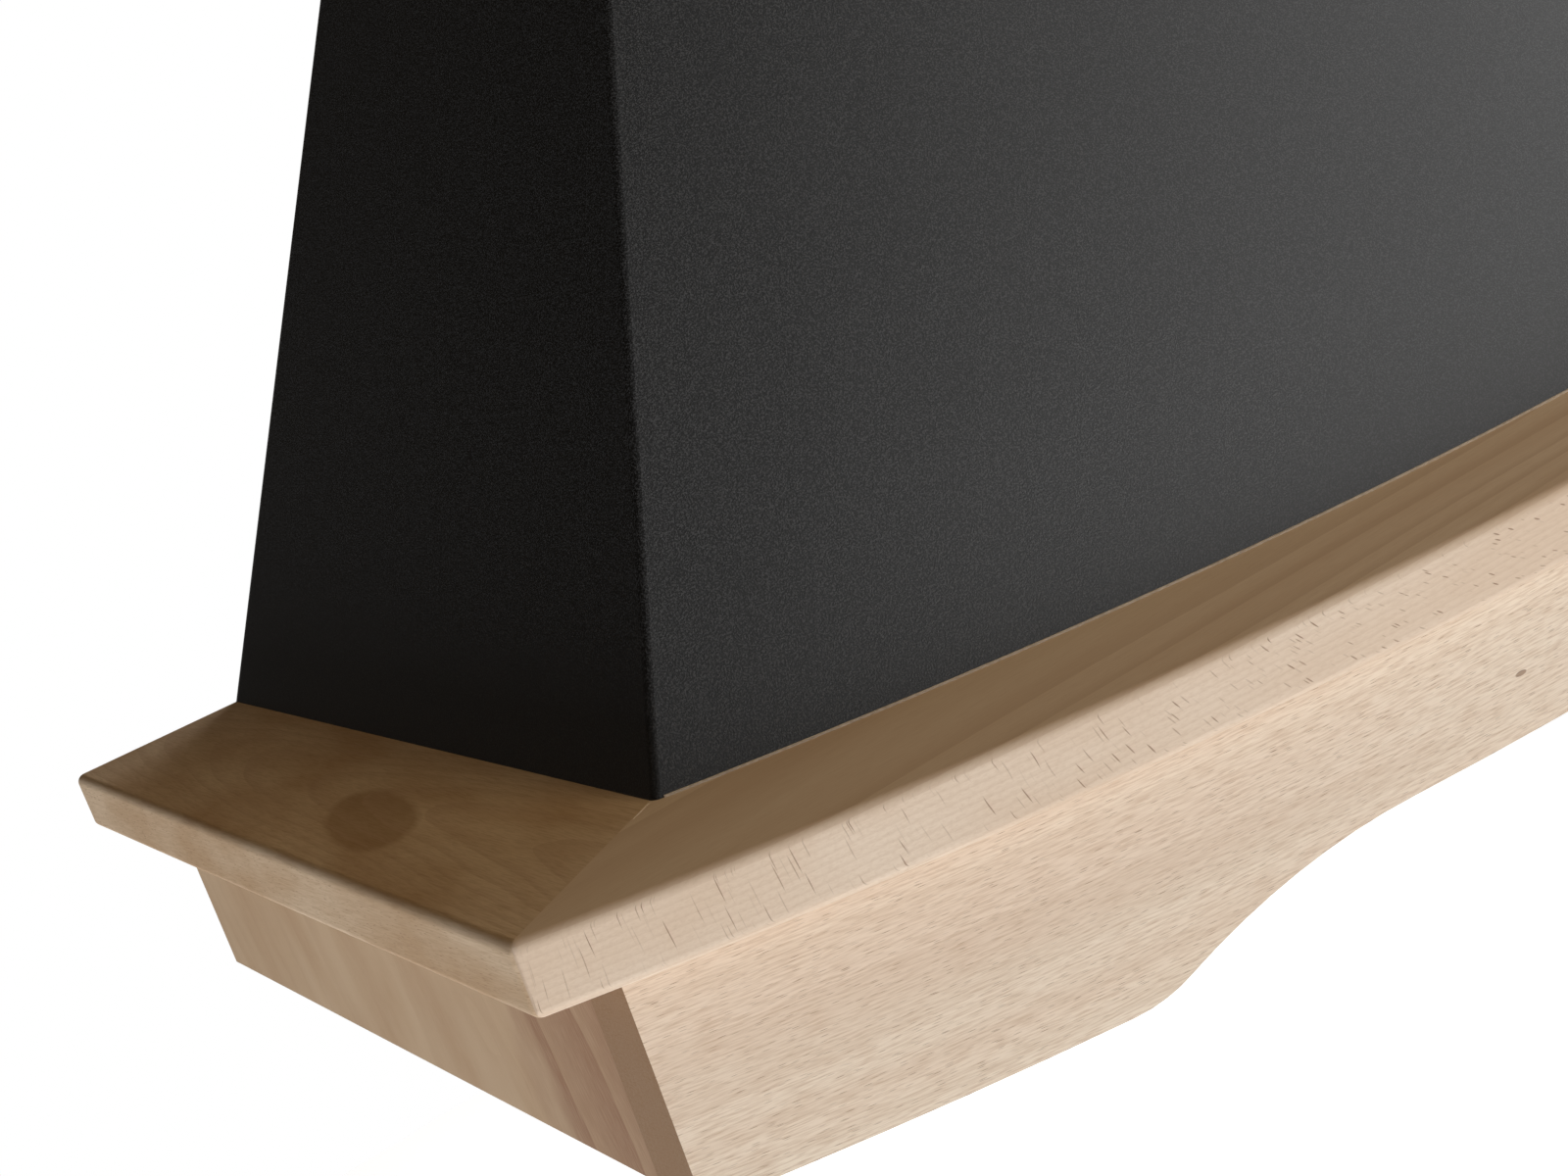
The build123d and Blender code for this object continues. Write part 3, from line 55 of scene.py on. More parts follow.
FIGURE_FRAY = 0.5  # how far a dark figure's outline strays, as a share of its size
BENT_FACE = 0.42  # from the wall to a bent board's face, where its length is measured


def paint(code):
    """An sRGB hex colour as linear RGBA."""
    shades = [int(code[at:at + 2], 16) / 255 for at in (1, 3, 5)]
    linear = [shade / 12.92 if shade <= 0.04045 else ((shade + 0.055) / 1.055) ** 2.4 for shade in shades]
    return (*linear, 1.0)


def new_finish(name):
    """A fresh material with its node tree and its shader."""
    material = bpy.data.materials.new(name)
    material.use_nodes = True
    return material, material.node_tree, material.node_tree.nodes["Principled BSDF"]


def add_node(tree, kind, settings, links=None):
    """Adds a node, then sets its options and sockets and joins what feeds it."""
    node = tree.nodes.new("ShaderNode" + kind)
    for key, value in settings.items():
        if isinstance(key, int) or key in node.inputs:
            node.inputs[key].default_value = value
        else:
            setattr(node, key, value)
    for key, source in (links or {}).items():
        tree.links.new(source, node.inputs[key])
    return node


def coat(material, *names):
    """Gives CAD nodes their finish."""
    for name in names:
        slots = nodes[name].data.materials
        slots.clear()
        slots.append(material)


def beech(
    name,
    turn,
    pith,
    away,
    pale,
    rose,
    late="#b99c82",
    pore="#c2a78f",
    rings=0.3,
    rays=0.6,
    scarce=0.2,
    ray_gap=RAY_GAP,
    draw=0.12,
    fibre=0.5,
    wobble=0.005,
    bow=None,
    mark=None,
):
    """Planed beech whose grain runs along X once the board is turned and its pith is moved to the X axis.

    The board lies about as far from the pith as away says. Its bands go from pale to rose, late is the
    colour of its late wood and pore of its fine pores. Rings, rays and fibre are how strongly these show,
    and scarce is the share of faint rays. Draw is how little the bands change along the grain, and wobble
    is how far the grain strays. A bow is the Y of the centre that a bent board is curved about.
    A mark is a dark figure's place, turn, size, depth and colour, and whether the rings band it.
    """
    material, tree, shader = new_finish(name)
    place = add_node(tree, "TexCoord", {})
    fibre_path = place.outputs["Object"]
    if bow is not None:
        apart = add_node(tree, "SeparateXYZ", {}, {0: fibre_path})
        deep = add_node(tree, "Math", {"operation": "SUBTRACT", 0: bow}, {1: apart.outputs["Y"]})
        swing = add_node(
            tree, "Math", {"operation": "ARCTAN2"}, {0: apart.outputs["X"], 1: deep.outputs["Value"]}
        )
        arc = add_node(
            tree, "Math", {"operation": "MULTIPLY", 1: bow + BENT_FACE}, {0: swing.outputs["Value"]}
        )
        spoke = add_node(tree, "CombineXYZ", {}, {0: apart.outputs["X"], 1: deep.outputs["Value"]})
        reach = add_node(tree, "VectorMath", {"operation": "LENGTH"}, {0: spoke.outputs["Vector"]})
        back = add_node(tree, "Math", {"operation": "SUBTRACT", 0: bow}, {1: reach.outputs["Value"]})
        straight = add_node(
            tree,
            "CombineXYZ",
            {},
            {0: arc.outputs["Value"], 1: back.outputs["Value"], 2: apart.outputs["Z"]},
        )
        fibre_path = straight.outputs["Vector"]
    angles = [radians(angle) for angle in turn]
    board = add_node(tree, "Mapping", {"Rotation": angles, "Location": pith}, {"Vector": fibre_path})
    along = add_node(tree, "Mapping", {"Scale": (draw, 1, 1)}, {"Vector": board.outputs["Vector"]})
    wander = add_node(
        tree, "TexNoise", {"Scale": 1 / STRAY_LENGTH, "Detail": 2}, {"Vector": along.outputs["Vector"]}
    )
    sway = add_node(
        tree,
        "VectorMath",
        {"operation": "MULTIPLY_ADD", 1: (wobble, wobble, wobble)},
        {0: wander.outputs["Color"], 2: board.outputs["Vector"]},
    )
    parts = add_node(tree, "SeparateXYZ", {}, {0: sway.outputs["Vector"]})
    slice_place = add_node(tree, "CombineXYZ", {}, {1: parts.outputs["Y"], 2: parts.outputs["Z"]})
    radius = add_node(tree, "VectorMath", {"operation": "LENGTH"}, {0: slice_place.outputs["Vector"]})
    angle = add_node(tree, "Math", {"operation": "ARCTAN2"}, {0: parts.outputs["Y"], 1: parts.outputs["Z"]})
    round_pith = add_node(tree, "Math", {"operation": "MULTIPLY", 1: away}, {0: angle.outputs["Value"]})
    log_place = add_node(
        tree,
        "CombineXYZ",
        {},
        {0: parts.outputs["X"], 1: round_pith.outputs["Value"], 2: radius.outputs["Value"]},
    )
    year = add_node(tree, "Math", {"operation": "DIVIDE", 1: RING_SPACING}, {0: radius.outputs["Value"]})
    season = add_node(tree, "Math", {"operation": "FRACT"}, {0: year.outputs["Value"]})
    late_wood = add_node(
        tree,
        "MapRange",
        {"interpolation_type": "SMOOTHSTEP", "From Min": 0.4, "From Max": 1.0, "To Max": rings},
        {"Value": season.outputs["Value"]},
    )
    bands = add_node(
        tree, "TexNoise", {"Scale": 1 / BAND_WIDTH, "Detail": 3}, {"Vector": along.outputs["Vector"]}
    )
    band_share = add_node(
        tree, "MapRange", {"From Min": 0.36, "From Max": 0.64}, {"Value": bands.outputs["Fac"]}
    )
    drawn = add_node(tree, "Mapping", {"Scale": (FIBRE_DRAW, 1, 1)}, {"Vector": board.outputs["Vector"]})
    fibres = add_node(
        tree,
        "TexNoise",
        {"Scale": 1 / FIBRE_WIDTH, "Detail": 2, "Roughness": 0.6},
        {"Vector": drawn.outputs["Vector"]},
    )
    fibre_share = add_node(
        tree,
        "MapRange",
        {"From Min": 0.42, "From Max": 0.75, "To Max": fibre},
        {"Value": fibres.outputs["Fac"]},
    )
    ray_scale = [1 / gap for gap in ray_gap]
    ray_place = add_node(tree, "Mapping", {"Scale": ray_scale}, {"Vector": log_place.outputs["Vector"]})
    ray_cells = add_node(tree, "TexVoronoi", {"Scale": 1.0}, {"Vector": ray_place.outputs["Vector"]})
    ray_shape = add_node(
        tree,
        "MapRange",
        {"From Min": 0.25, "From Max": 0.15, "To Max": rays},
        {"Value": ray_cells.outputs["Distance"]},
    )
    ray_choice = add_node(tree, "SeparateColor", {}, {0: ray_cells.outputs["Color"]})
    ray_depth = add_node(
        tree, "MapRange", {"From Min": scarce, "To Min": 0.12}, {"Value": ray_choice.outputs["Red"]}
    )
    ray_tone = add_node(
        tree,
        "Math",
        {"operation": "MULTIPLY"},
        {0: ray_shape.outputs["Result"], 1: ray_depth.outputs["Result"]},
    )
    level = add_node(
        tree, "VectorMath", {"operation": "DOT_PRODUCT", 1: (0, 0, 1)}, {0: place.outputs["Normal"]}
    )
    lying = add_node(tree, "Math", {"operation": "ABSOLUTE"}, {0: level.outputs["Value"]})
    upright = add_node(
        tree, "MapRange", {"From Min": 0.5, "From Max": 0.15}, {"Value": lying.outputs["Value"]}
    )
    ray_share = add_node(
        tree, "Math", {"operation": "MULTIPLY"}, {0: ray_tone.outputs["Value"], 1: upright.outputs["Result"]}
    )
    # Growth lines drawn up to 2.2 times as strong on level faces: painted shade that darkens and browns the
    # tops.
    ring_depth_and_top_shade = add_node(
        tree, "MapRange", {"To Min": 1.0, "To Max": 2.2}, {"Value": lying.outputs["Value"]}
    )
    ring_and_top_shade_share = add_node(
        tree,
        "Math",
        {"operation": "MULTIPLY"},
        {0: late_wood.outputs["Result"], 1: ring_depth_and_top_shade.outputs["Result"]},
    )
    tone = add_node(
        tree, "Mix", {"data_type": "RGBA", 6: paint(pale), 7: paint(rose)}, {0: band_share.outputs["Result"]}
    )
    layers = []
    if mark is not None:
        spot, slant, size, depth, shade, banded = mark
        settings = {
            "vector_type": "TEXTURE",
            "Location": spot,
            "Rotation": (0, 0, radians(slant)),
            "Scale": size,
        }
        centred = add_node(tree, "Mapping", settings, {"Vector": place.outputs["Object"]})
        ragged = add_node(
            tree,
            "VectorMath",
            {"operation": "MULTIPLY_ADD", 1: [FIGURE_FRAY] * 3},
            {0: bands.outputs["Color"], 2: centred.outputs["Vector"]},
        )
        reach = add_node(
            tree,
            "VectorMath",
            {"operation": "DISTANCE", 1: [FIGURE_FRAY / 2] * 3},
            {0: ragged.outputs["Vector"]},
        )
        figure = add_node(
            tree,
            "MapRange",
            {"From Min": 1.15, "From Max": 0.95, "To Max": depth},
            {"Value": reach.outputs["Value"]},
        )
        figure_share = figure.outputs["Result"]
        if banded:
            bars = add_node(tree, "MapRange", {"To Min": 0.5}, {"Value": season.outputs["Value"]})
            barred = add_node(
                tree, "Math", {"operation": "MULTIPLY"}, {0: figure_share, 1: bars.outputs["Result"]}
            )
            figure_share = barred.outputs["Value"]
        layers.append((figure_share, shade))
    layers.append((ring_and_top_shade_share.outputs["Value"], late))
    layers.append((fibre_share.outputs["Result"], pore))
    layers.append((ray_share.outputs["Value"], RAY_BROWN))
    fibre_heading = Vector((1, 0, 0))
    fibre_heading.rotate(Euler(angles).to_matrix().inverted())
    facing = add_node(
        tree, "VectorMath", {"operation": "DOT_PRODUCT", 1: fibre_heading}, {0: place.outputs["Normal"]}
    )
    square_on = add_node(tree, "Math", {"operation": "ABSOLUTE"}, {0: facing.outputs["Value"]})
    end_grain = add_node(
        tree,
        "MapRange",
        {"From Min": 0.7, "From Max": 0.95, "To Max": 0.85},
        {"Value": square_on.outputs["Value"]},
    )
    layers.append((end_grain.outputs["Result"], END_BROWN))
    for share, colour in layers:
        tone = add_node(
            tree, "Mix", {"data_type": "RGBA", 7: paint(colour)}, {0: share, 6: tone.outputs[2]}
        )
    tree.links.new(tone.outputs[2], shader.inputs["Base Color"])
    gloss = add_node(tree, "MapRange", {"To Min": 0.5, "To Max": 0.66}, {"Value": fibres.outputs["Fac"]})
    tree.links.new(gloss.outputs["Result"], shader.inputs["Roughness"])
    shader.inputs["Specular IOR Level"].default_value = 0.15
    pores = add_node(
        tree, "Bump", {"Strength": 0.25, "Distance": 0.0001}, {"Height": fibres.outputs["Fac"]}
    )
    tree.links.new(pores.outputs["Normal"], shader.inputs["Normal"])
    return material


# Planed and lacquered: pale cream, with hairline rays on the sawn edge and faint growth lines on top, drawn
# stronger there as painted shade.
ledge_front_beech = beech(
    "beech ledge front",
    turn=(0, 0, 0),
    pith=(0.0, 0.355, -0.32),
    away=0.33,
    pale="#e0cebb",
    rose="#d8c3ae",
    rings=0.17,
    rays=0.82,
    scarce=0.12,
    fibre=0.32,
    wobble=0.004,
)
coat(ledge_front_beech, "ledge_front")
# A browner board: soft yellow-brown bands, and one darker rounded figure where a branch began.
ledge_left_beech = beech(
    "beech ledge left",
    turn=(2.5, 0, -90),
    pith=(0.1, -0.415, 0.05),
    away=0.05,
    pale="#d3bca1",
    rose="#bda081",
    pore="#8d6d4d",
    rings=0.2,
    rays=0.75,
    scarce=0.1,
    draw=0.4,
    fibre=0.34,
    mark=((-0.4235, -0.2144, 0.0), -13.6, (0.0118, 0.0305, 0.02), 0.55, "#94744e", False),
)
coat(ledge_left_beech, "ledge_left")
# Its pair on the right: the same bands, with fewer rays.
ledge_right_beech = beech(
    "beech ledge right",
    turn=(-2, 0, -90),
    pith=(0.3, 0.42, 0.06),
    away=0.06,
    pale="#d3bc9f",
    rose="#c2a682",
    pore="#8d6d4d",
    rays=0.45,
    draw=0.4,
    fibre=0.34,
)
coat(ledge_right_beech, "ledge_right")

# Apron: three 20 mm beech boards under the ledge, the front one steam bent with a scalloped lower edge.
# Its flat-sawn face shows the rays end on, as many short dark dashes along the grain, over rosy bands.
# Turned beech dowels hold the boards to the ledge.
BOW_CENTRE = 0.5938  # Y of the upright axis that the front is bent about
# The palest board: soft rosy bands, silky fibres, hundreds of fine dashes and one pin knot.
apron_front_beech = beech(
    "beech apron front",
    turn=(90, 0, 0),
    pith=(0.0, -0.06, 0.31),
    away=0.11,
    pale="#e6d7c4",
    rose="#e0ccb8",
    rings=0.15,
    rays=0.85,
    scarce=0.05,
    ray_gap=(0.006, 0.0003, 0.008),
    draw=0.07,
    fibre=0.85,
    bow=BOW_CENTRE,
    mark=((-0.1688, -0.42, -0.0533), 13, (0.0018, 0.012, 0.0007), 0.75, "#6b4a30", False),
)
coat(apron_front_beech, "apron_front")
# Cut through the rings: broad reddish bands near the front end, and plain brown behind.
# The banded figure there also darkens the whole front end, as painted shade.
apron_left_beech = beech(
    "beech apron left",
    turn=(100, 0, -90),
    pith=(0.1, 0.5775, 0.195),
    away=1.0,
    pale="#c1a98d",
    rose="#b69b7e",
    late="#926e54",
    rings=0.09,
    rays=0.2,
    draw=0.4,
    wobble=0.0025,
    mark=((-0.4225, -0.345, -0.06), 0, (0.03, 0.075, 0.09), 0.8, "#86604a", True),
)
coat(apron_left_beech, "apron_left")
# Its pair on the right: plain brown with hardly any figure.
apron_right_beech = beech(
    "beech apron right",
    turn=(85, 0, -90),
    pith=(0.2, -0.57, 0.05),
    away=1.0,
    pale="#c1a98d",
    rose="#b69b7e",
    late="#926e54",
    rings=0.12,
    rays=0.2,
    draw=0.4,
)
coat(apron_right_beech, "apron_right")
# Turned rod: even and pale, with darker end grain.
dowel_beech = beech(
    "beech dowel", turn=(0, 90, 0), pith=(0.0, 0.02, 0.02), away=0.03, pale="#d6bda2", rose="#cbae93"
)
coat(dowel_beech, "crown_dowels")

# Mitre lines: at the canopy's front corners the ledge's mitres stand open by a hair, and catch the light.
# Each is a slim sliver of bare wood, widest at the canopy and closing towards the outer corner.
# It is painted almost white, as a painted highlight along the open joint.
MITRE_START = (0.3852, -0.3157)  # at the canopy's corner
MITRE_RUN = (0.008, -0.0047)  # from there towards the ledge's corner
MITRE_WIDTH = 0.0006
MITRE_TAPER = 0.1  # of that width is left at the outer end
MITRE_PROUD = 0.0001
BOTH_SIDES = ((-1, "left"), (1, "right"))


def start_afresh():
    """Clears the selection before a primitive is added."""
    bpy.ops.object.select_all(action="DESELECT")


def settle():
    """Puts the active piece's place, turn and size into its mesh."""
    bpy.ops.object.transform_apply(location=True, rotation=True, scale=True)


def open_at(piece, kind, test):
    """Opens a piece for shaping, with only those of its faces or corners selected that pass a test."""
    bpy.ops.object.mode_set(mode="EDIT")
    bpy.ops.mesh.select_mode(type=kind)
    bpy.ops.mesh.select_all(action="DESELECT")
    bpy.ops.object.mode_set(mode="OBJECT")
    for part in piece.data.polygons if kind == "FACE" else piece.data.vertices:
        part.select = test(part)
    bpy.ops.object.mode_set(mode="EDIT")


def end_piece(name, material, body, smooth=30):
    """Names and settles a finished piece, then gives it its finish and the body it rides on."""
    piece = bpy.context.object
    piece.name = name
    piece.data.name = name
    settle()
    bpy.ops.object.shade_smooth_by_angle(angle=radians(smooth))
    piece.data.materials.clear()
    piece.data.materials.append(material)
    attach(piece, body)
    return piece


# Bare wood painted almost white: a painted highlight that shows the open joint as a bright hairline.
bare_mitre_highlight = beech(
    "bare beech arris, painted highlight",
    turn=(0, 0, 0),
    pith=(0.0, 0.355, -0.32),
    away=0.33,
    pale="#f6ecdf",
    rose="#efe2d2",
    rings=0.05,
    rays=0.0,
)
for side, word in BOTH_SIDES:
    start_afresh()
    middle_x = side * (MITRE_START[0] + MITRE_RUN[0] / 2)
    middle_y = MITRE_START[1] + MITRE_RUN[1] / 2
    run = Vector((side * MITRE_RUN[0], MITRE_RUN[1], 0))
    slant = atan2(run.y, run.x)
    bpy.ops.mesh.primitive_cube_add(size=1, location=(middle_x, middle_y, 0), rotation=(0, 0, slant))
    bpy.ops.transform.resize(value=(run.length, MITRE_WIDTH, 2 * MITRE_PROUD), orient_type="LOCAL")
    sliver = bpy.context.object
    open_at(sliver, "VERT", lambda corner: corner.co.x > 0)
    outer_end = (middle_x + run.x / 2, middle_y + run.y / 2, 0)
    bpy.ops.transform.resize(value=(1, MITRE_TAPER, 1), orient_type="LOCAL", center_override=outer_end)
    bpy.ops.object.mode_set(mode="OBJECT")
    end_piece(f"mitre_line_{word}", bare_mitre_highlight, "hood")

# Canopy and chimney: folded 1 mm sheet steel with a fine-texture black powder coat, baked on.
# The powder leaves a pebbled skin, finer than a millimetre, that breaks the light into soft specks.
# These specks are painted into its colour as grey highlights on a near black ground, as well as coming from
# the skin's bump.
PEBBLE = 0.0005  # a little coarser than the real skin, to show
PEBBLE_DEPTH = 0.00018
GLOSS_SHIFT = 0.08  # how far a skin's roughness strays either way


def powder_coat(name, dark, bright, roughness, shine):
    """Matt powder coat with a pebbled skin, and faint grey specks painted as its highlights."""
    material, tree, shader = new_finish(name)
    place = add_node(tree, "TexCoord", {})
    pebbles = add_node(
        tree,
        "TexNoise",
        {"Scale": 1 / PEBBLE, "Detail": 2, "Roughness": 0.55},
        {"Vector": place.outputs["Object"]},
    )
    # Grey specks where the noise is high: painted highlights of the pebbled skin.
    speck_highlight = add_node(
        tree, "MapRange", {"From Min": 0.48, "From Max": 0.62}, {"Value": pebbles.outputs["Fac"]}
    )
    skin = add_node(
        tree, "Mix", {"data_type": "RGBA", 6: paint(dark), 7: paint(bright)}, {0: speck_highlight.outputs["Result"]}
    )
    tree.links.new(skin.outputs[2], shader.inputs["Base Color"])
    grip = add_node(
        tree,
        "MapRange",
        {"To Min": roughness - GLOSS_SHIFT, "To Max": roughness + GLOSS_SHIFT},
        {"Value": pebbles.outputs["Fac"]},
    )
    tree.links.new(grip.outputs["Result"], shader.inputs["Roughness"])
    bumps = add_node(
        tree, "Bump", {"Strength": 0.62, "Distance": PEBBLE_DEPTH}, {"Height": pebbles.outputs["Fac"]}
    )
    tree.links.new(bumps.outputs["Normal"], shader.inputs["Normal"])
    shader.inputs["Specular IOR Level"].default_value = shine
    return material


# Deep matt black with fine grey specks, painted highlights of the pebbled skin, and a broad soft sheen.
black_coat = powder_coat("black powder coat", "#020202", "#3a3b3d", roughness=0.5, shine=1.0)
coat(black_coat, "body_shell", "chimney_cover", "chimney_extension")

# Foot line: the cut lower edge of the canopy's front sheet, eased and resting on the ledge, painted pale as
# a highlight.
# A slim bead spun round the axis that the front is bent about, seen as a fine light line along the foot.
FOOT_RADIUS = 0.9880  # canopy's foot from the bow's axis
FOOT_TURN = 22.7  # degrees of the foot's bow on each side
BEAD = 0.0006
BEAD_STEPS = 56


def mottled(name, dark, bright, grain, roughness, metallic=0.0, bump=0.2, draw=(1, 1, 1), shine=0.5):
    """A finish with a fine mottle of two shades, drawn out where it was rolled or spun.

    Its gloss changes with the mottle, and its bump is an eighth as deep as its grain is wide.
    """
    material, tree, shader = new_finish(name)
    place = add_node(tree, "TexCoord", {})
    drawn = add_node(tree, "Mapping", {"Scale": draw}, {"Vector": place.outputs["Object"]})
    mottle = add_node(
        tree,
        "TexNoise",
        {"Scale": 1 / grain, "Detail": 3, "Roughness": 0.55},
        {"Vector": drawn.outputs["Vector"]},
    )
    share = add_node(
        tree, "MapRange", {"From Min": 0.35, "From Max": 0.65}, {"Value": mottle.outputs["Fac"]}
    )
    tone = add_node(
        tree, "Mix", {"data_type": "RGBA", 6: paint(dark), 7: paint(bright)}, {0: share.outputs["Result"]}
    )
    tree.links.new(tone.outputs[2], shader.inputs["Base Color"])
    gloss = add_node(
        tree,
        "MapRange",
        {"To Min": roughness - GLOSS_SHIFT, "To Max": roughness + GLOSS_SHIFT},
        {"Value": mottle.outputs["Fac"]},
    )
    tree.links.new(gloss.outputs["Result"], shader.inputs["Roughness"])
    skin = add_node(
        tree, "Bump", {"Strength": bump, "Distance": grain / 8}, {"Height": mottle.outputs["Fac"]}
    )
    tree.links.new(skin.outputs["Normal"], shader.inputs["Normal"])
    shader.inputs["Metallic"].default_value = metallic
    shader.inputs["Specular IOR Level"].default_value = shine
    return material


bow_axis = (0, BOW_CENTRE, 0)
bead_middle = (0, BOW_CENTRE - FOOT_RADIUS, BEAD / 2)
start_afresh()
bpy.ops.mesh.primitive_plane_add(size=BEAD, location=bead_middle)
bpy.ops.object.mode_set(mode="EDIT")
bpy.ops.mesh.select_all(action="SELECT")
bpy.ops.transform.rotate(value=radians(90), orient_axis="Y", center_override=bead_middle)
bpy.ops.transform.rotate(value=radians(-FOOT_TURN), orient_axis="Z", center_override=bow_axis)
bpy.ops.mesh.spin(steps=BEAD_STEPS, angle=radians(2 * FOOT_TURN), center=bow_axis, axis=(0, 0, 1))
bpy.ops.mesh.select_all(action="SELECT")
bpy.ops.mesh.normals_make_consistent(inside=False)
bpy.ops.object.mode_set(mode="OBJECT")
# A pale, dull line: a painted highlight along the sheet's lower edge.
foot_edge_highlight = mottled("canopy foot edge, painted highlight", "#d9cfc4", "#efe6dc", grain=0.002, roughness=0.45)
end_piece("foot_bead", foot_edge_highlight, "hood")

# Back plate, blower plate and chimney bracket: hot-dip galvanised sheet, left bare.
# The zinc freezes in flat crystals of about 12 mm, each a slightly different grey.
SPANGLE = 0.012
SPANGLE_FRAY = 0.004  # how far a crystal's edge strays
# A cold grey patchwork whose gloss shifts from crystal to crystal.
galvanised, tree, shader = new_finish("galvanised sheet steel")
place = add_node(tree, "TexCoord", {})
stray = add_node(
    tree, "TexNoise", {"Scale": 1 / SPANGLE_FRAY, "Detail": 2}, {"Vector": place.outputs["Object"]}
)
jagged = add_node(
    tree,
    "VectorMath",
    {"operation": "MULTIPLY_ADD", 1: [SPANGLE_FRAY] * 3},
    {0: stray.outputs["Color"], 2: place.outputs["Object"]},
)
crystals = add_node(tree, "TexVoronoi", {"Scale": 1 / SPANGLE}, {"Vector": jagged.outputs["Vector"]})
grey_share = add_node(tree, "SeparateColor", {}, {0: crystals.outputs["Color"]})
zinc_tone = add_node(
    tree,
    "Mix",
    {"data_type": "RGBA", 6: paint("#acb0b2"), 7: paint("#bec2c4")},
    {0: grey_share.outputs["Red"]},
)
tree.links.new(zinc_tone.outputs[2], shader.inputs["Base Color"])
frost = add_node(tree, "MapRange", {"To Min": 0.4, "To Max": 0.52}, {"Value": grey_share.outputs["Green"]})
tree.links.new(frost.outputs["Result"], shader.inputs["Roughness"])
shader.inputs["Metallic"].default_value = 1.0
coat(galvanised, "back_plate", "blower_plate", "chimney_bracket")

# Fixings: turned screws, nut and flap pin and coiled filter springs, all of steel, zinc plated against rust.
# The screws hold the ledge, the pan and the scroll, and the pin carries both flaps across the outlet.
# The motor's ground shaft turns in two closed bearings.
FIXINGS = ("ledge_screws", "pan_screws", "blower_screws", "impeller_nut", "filter_springs", "flap_pin")
# Silvery with a slight cloud.
bright_zinc = mottled(
    "bright zinc plating", "#b0b2b0", "#cfd1ce", grain=0.003, roughness=0.3, metallic=1.0, bump=0.1
)
coat(bright_zinc, *FIXINGS)
# Grey with fine lines along its length.
ground_steel = mottled(
    "ground steel shaft",
    "#8f9294",
    "#b5b8ba",
    grain=0.002,
    roughness=0.25,
    metallic=1.0,
    bump=0.1,
    draw=(0.05, 1, 1),
)
coat(ground_steel, "motor_shaft")
# Bright and even, nearly a mirror.
bearing_steel = mottled(
    "bearing steel", "#9a9da0", "#bcbfc2", grain=0.002, roughness=0.22, metallic=1.0, bump=0.1
)
coat(bearing_steel, "motor_bearings")

# Underside pan: a folded 1 mm steel tray with two filter openings, screwed sideways into the side aprons.
# Its black coat is smoother than the canopy's, so that grease wipes off.
PAN_PEEL = 0.0012  # between the crests of the coat's faint orange peel
# Near black with a low, even sheen.
pan_coat = mottled(
    "satin black pan coat", "#1b1b1c", "#242425", grain=PAN_PEEL, roughness=0.38, bump=0.35, shine=0.4
)
coat(pan_coat, "bottom_pan")

# Grease filters: a folded aluminium frame round two layers of expanded aluminium net, with a bent wire bail.
# The rolled sheet shows fine lines along its length, and the net's diamonds are stretched from slit foil.
FILTER_MIDDLE_X = 0.152
FILTER_MIDDLE_Y = -0.140
NET_PITCH = (0.009, 0.006)  # a diamond's length and width
NET_COUNT = (29, 30)
NET_STRAND = 0.0009
NET_FOIL = 0.0006
NET_LEVEL = -0.0478
NET_LAYERS = 2
NET_LIFT = 0.0035  # from one layer to the next
# Pale grey with hair-fine lines along the roll.
rolled_aluminium = mottled(
    "rolled aluminium sheet",
    "#b4b7b9",
    "#d2d4d5",
    grain=0.0012,
    roughness=0.34,
    metallic=1.0,
    bump=0.15,
    draw=(0.06, 1, 1),
)
coat(rolled_aluminium, "filter_frame_left", "filter_frame_right")
# A little duller, each strand catching the light along its edge.
net_aluminium = mottled(
    "expanded aluminium net", "#a3a6a8", "#cacccd", grain=0.004, roughness=0.36, metallic=1.0, bump=0.1
)


def repeat(piece, count, step):
    """Copies a piece's mesh in a row of even steps."""
    row = piece.modifiers.new("row", "ARRAY")
    row.count = count
    row.use_relative_offset = False
    row.use_constant_offset = True
    row.constant_offset_displace = step
    bpy.ops.object.modifier_apply(modifier=row.name)


for side, word in BOTH_SIDES:
    start_afresh()
    corner_x = side * FILTER_MIDDLE_X - NET_PITCH[0] * (NET_COUNT[0] - 0.5) / 2
    corner_y = FILTER_MIDDLE_Y - NET_PITCH[1] * (NET_COUNT[1] - 0.5) / 2
    bpy.ops.mesh.primitive_circle_add(
        vertices=4, radius=0.5, fill_type="NGON", location=(corner_x, corner_y, NET_LEVEL)
    )
    bpy.ops.transform.resize(value=(*NET_PITCH, 1))
    settle()
    bpy.ops.object.mode_set(mode="EDIT")
    bpy.ops.mesh.select_all(action="SELECT")
    bpy.ops.mesh.inset(thickness=NET_STRAND / 2, depth=0)
    bpy.ops.mesh.delete(type="FACE")
    bpy.ops.object.mode_set(mode="OBJECT")
    net = bpy.context.object
    repeat(net, NET_COUNT[0], (NET_PITCH[0], 0, 0))
    repeat(net, NET_COUNT[1], (0, NET_PITCH[1], 0))
    repeat(net, NET_LAYERS, (NET_PITCH[0] / 2, NET_PITCH[1] / 2, NET_LIFT))
    foil = net.modifiers.new("foil", "SOLIDIFY")
    foil.thickness = NET_FOIL
    foil.offset = 0
    bpy.ops.object.modifier_apply(modifier=foil.name)
    end_piece(f"filter_mesh_{word}", net_aluminium, f"filter_{word}")
    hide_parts(f"filter_net_{word}")

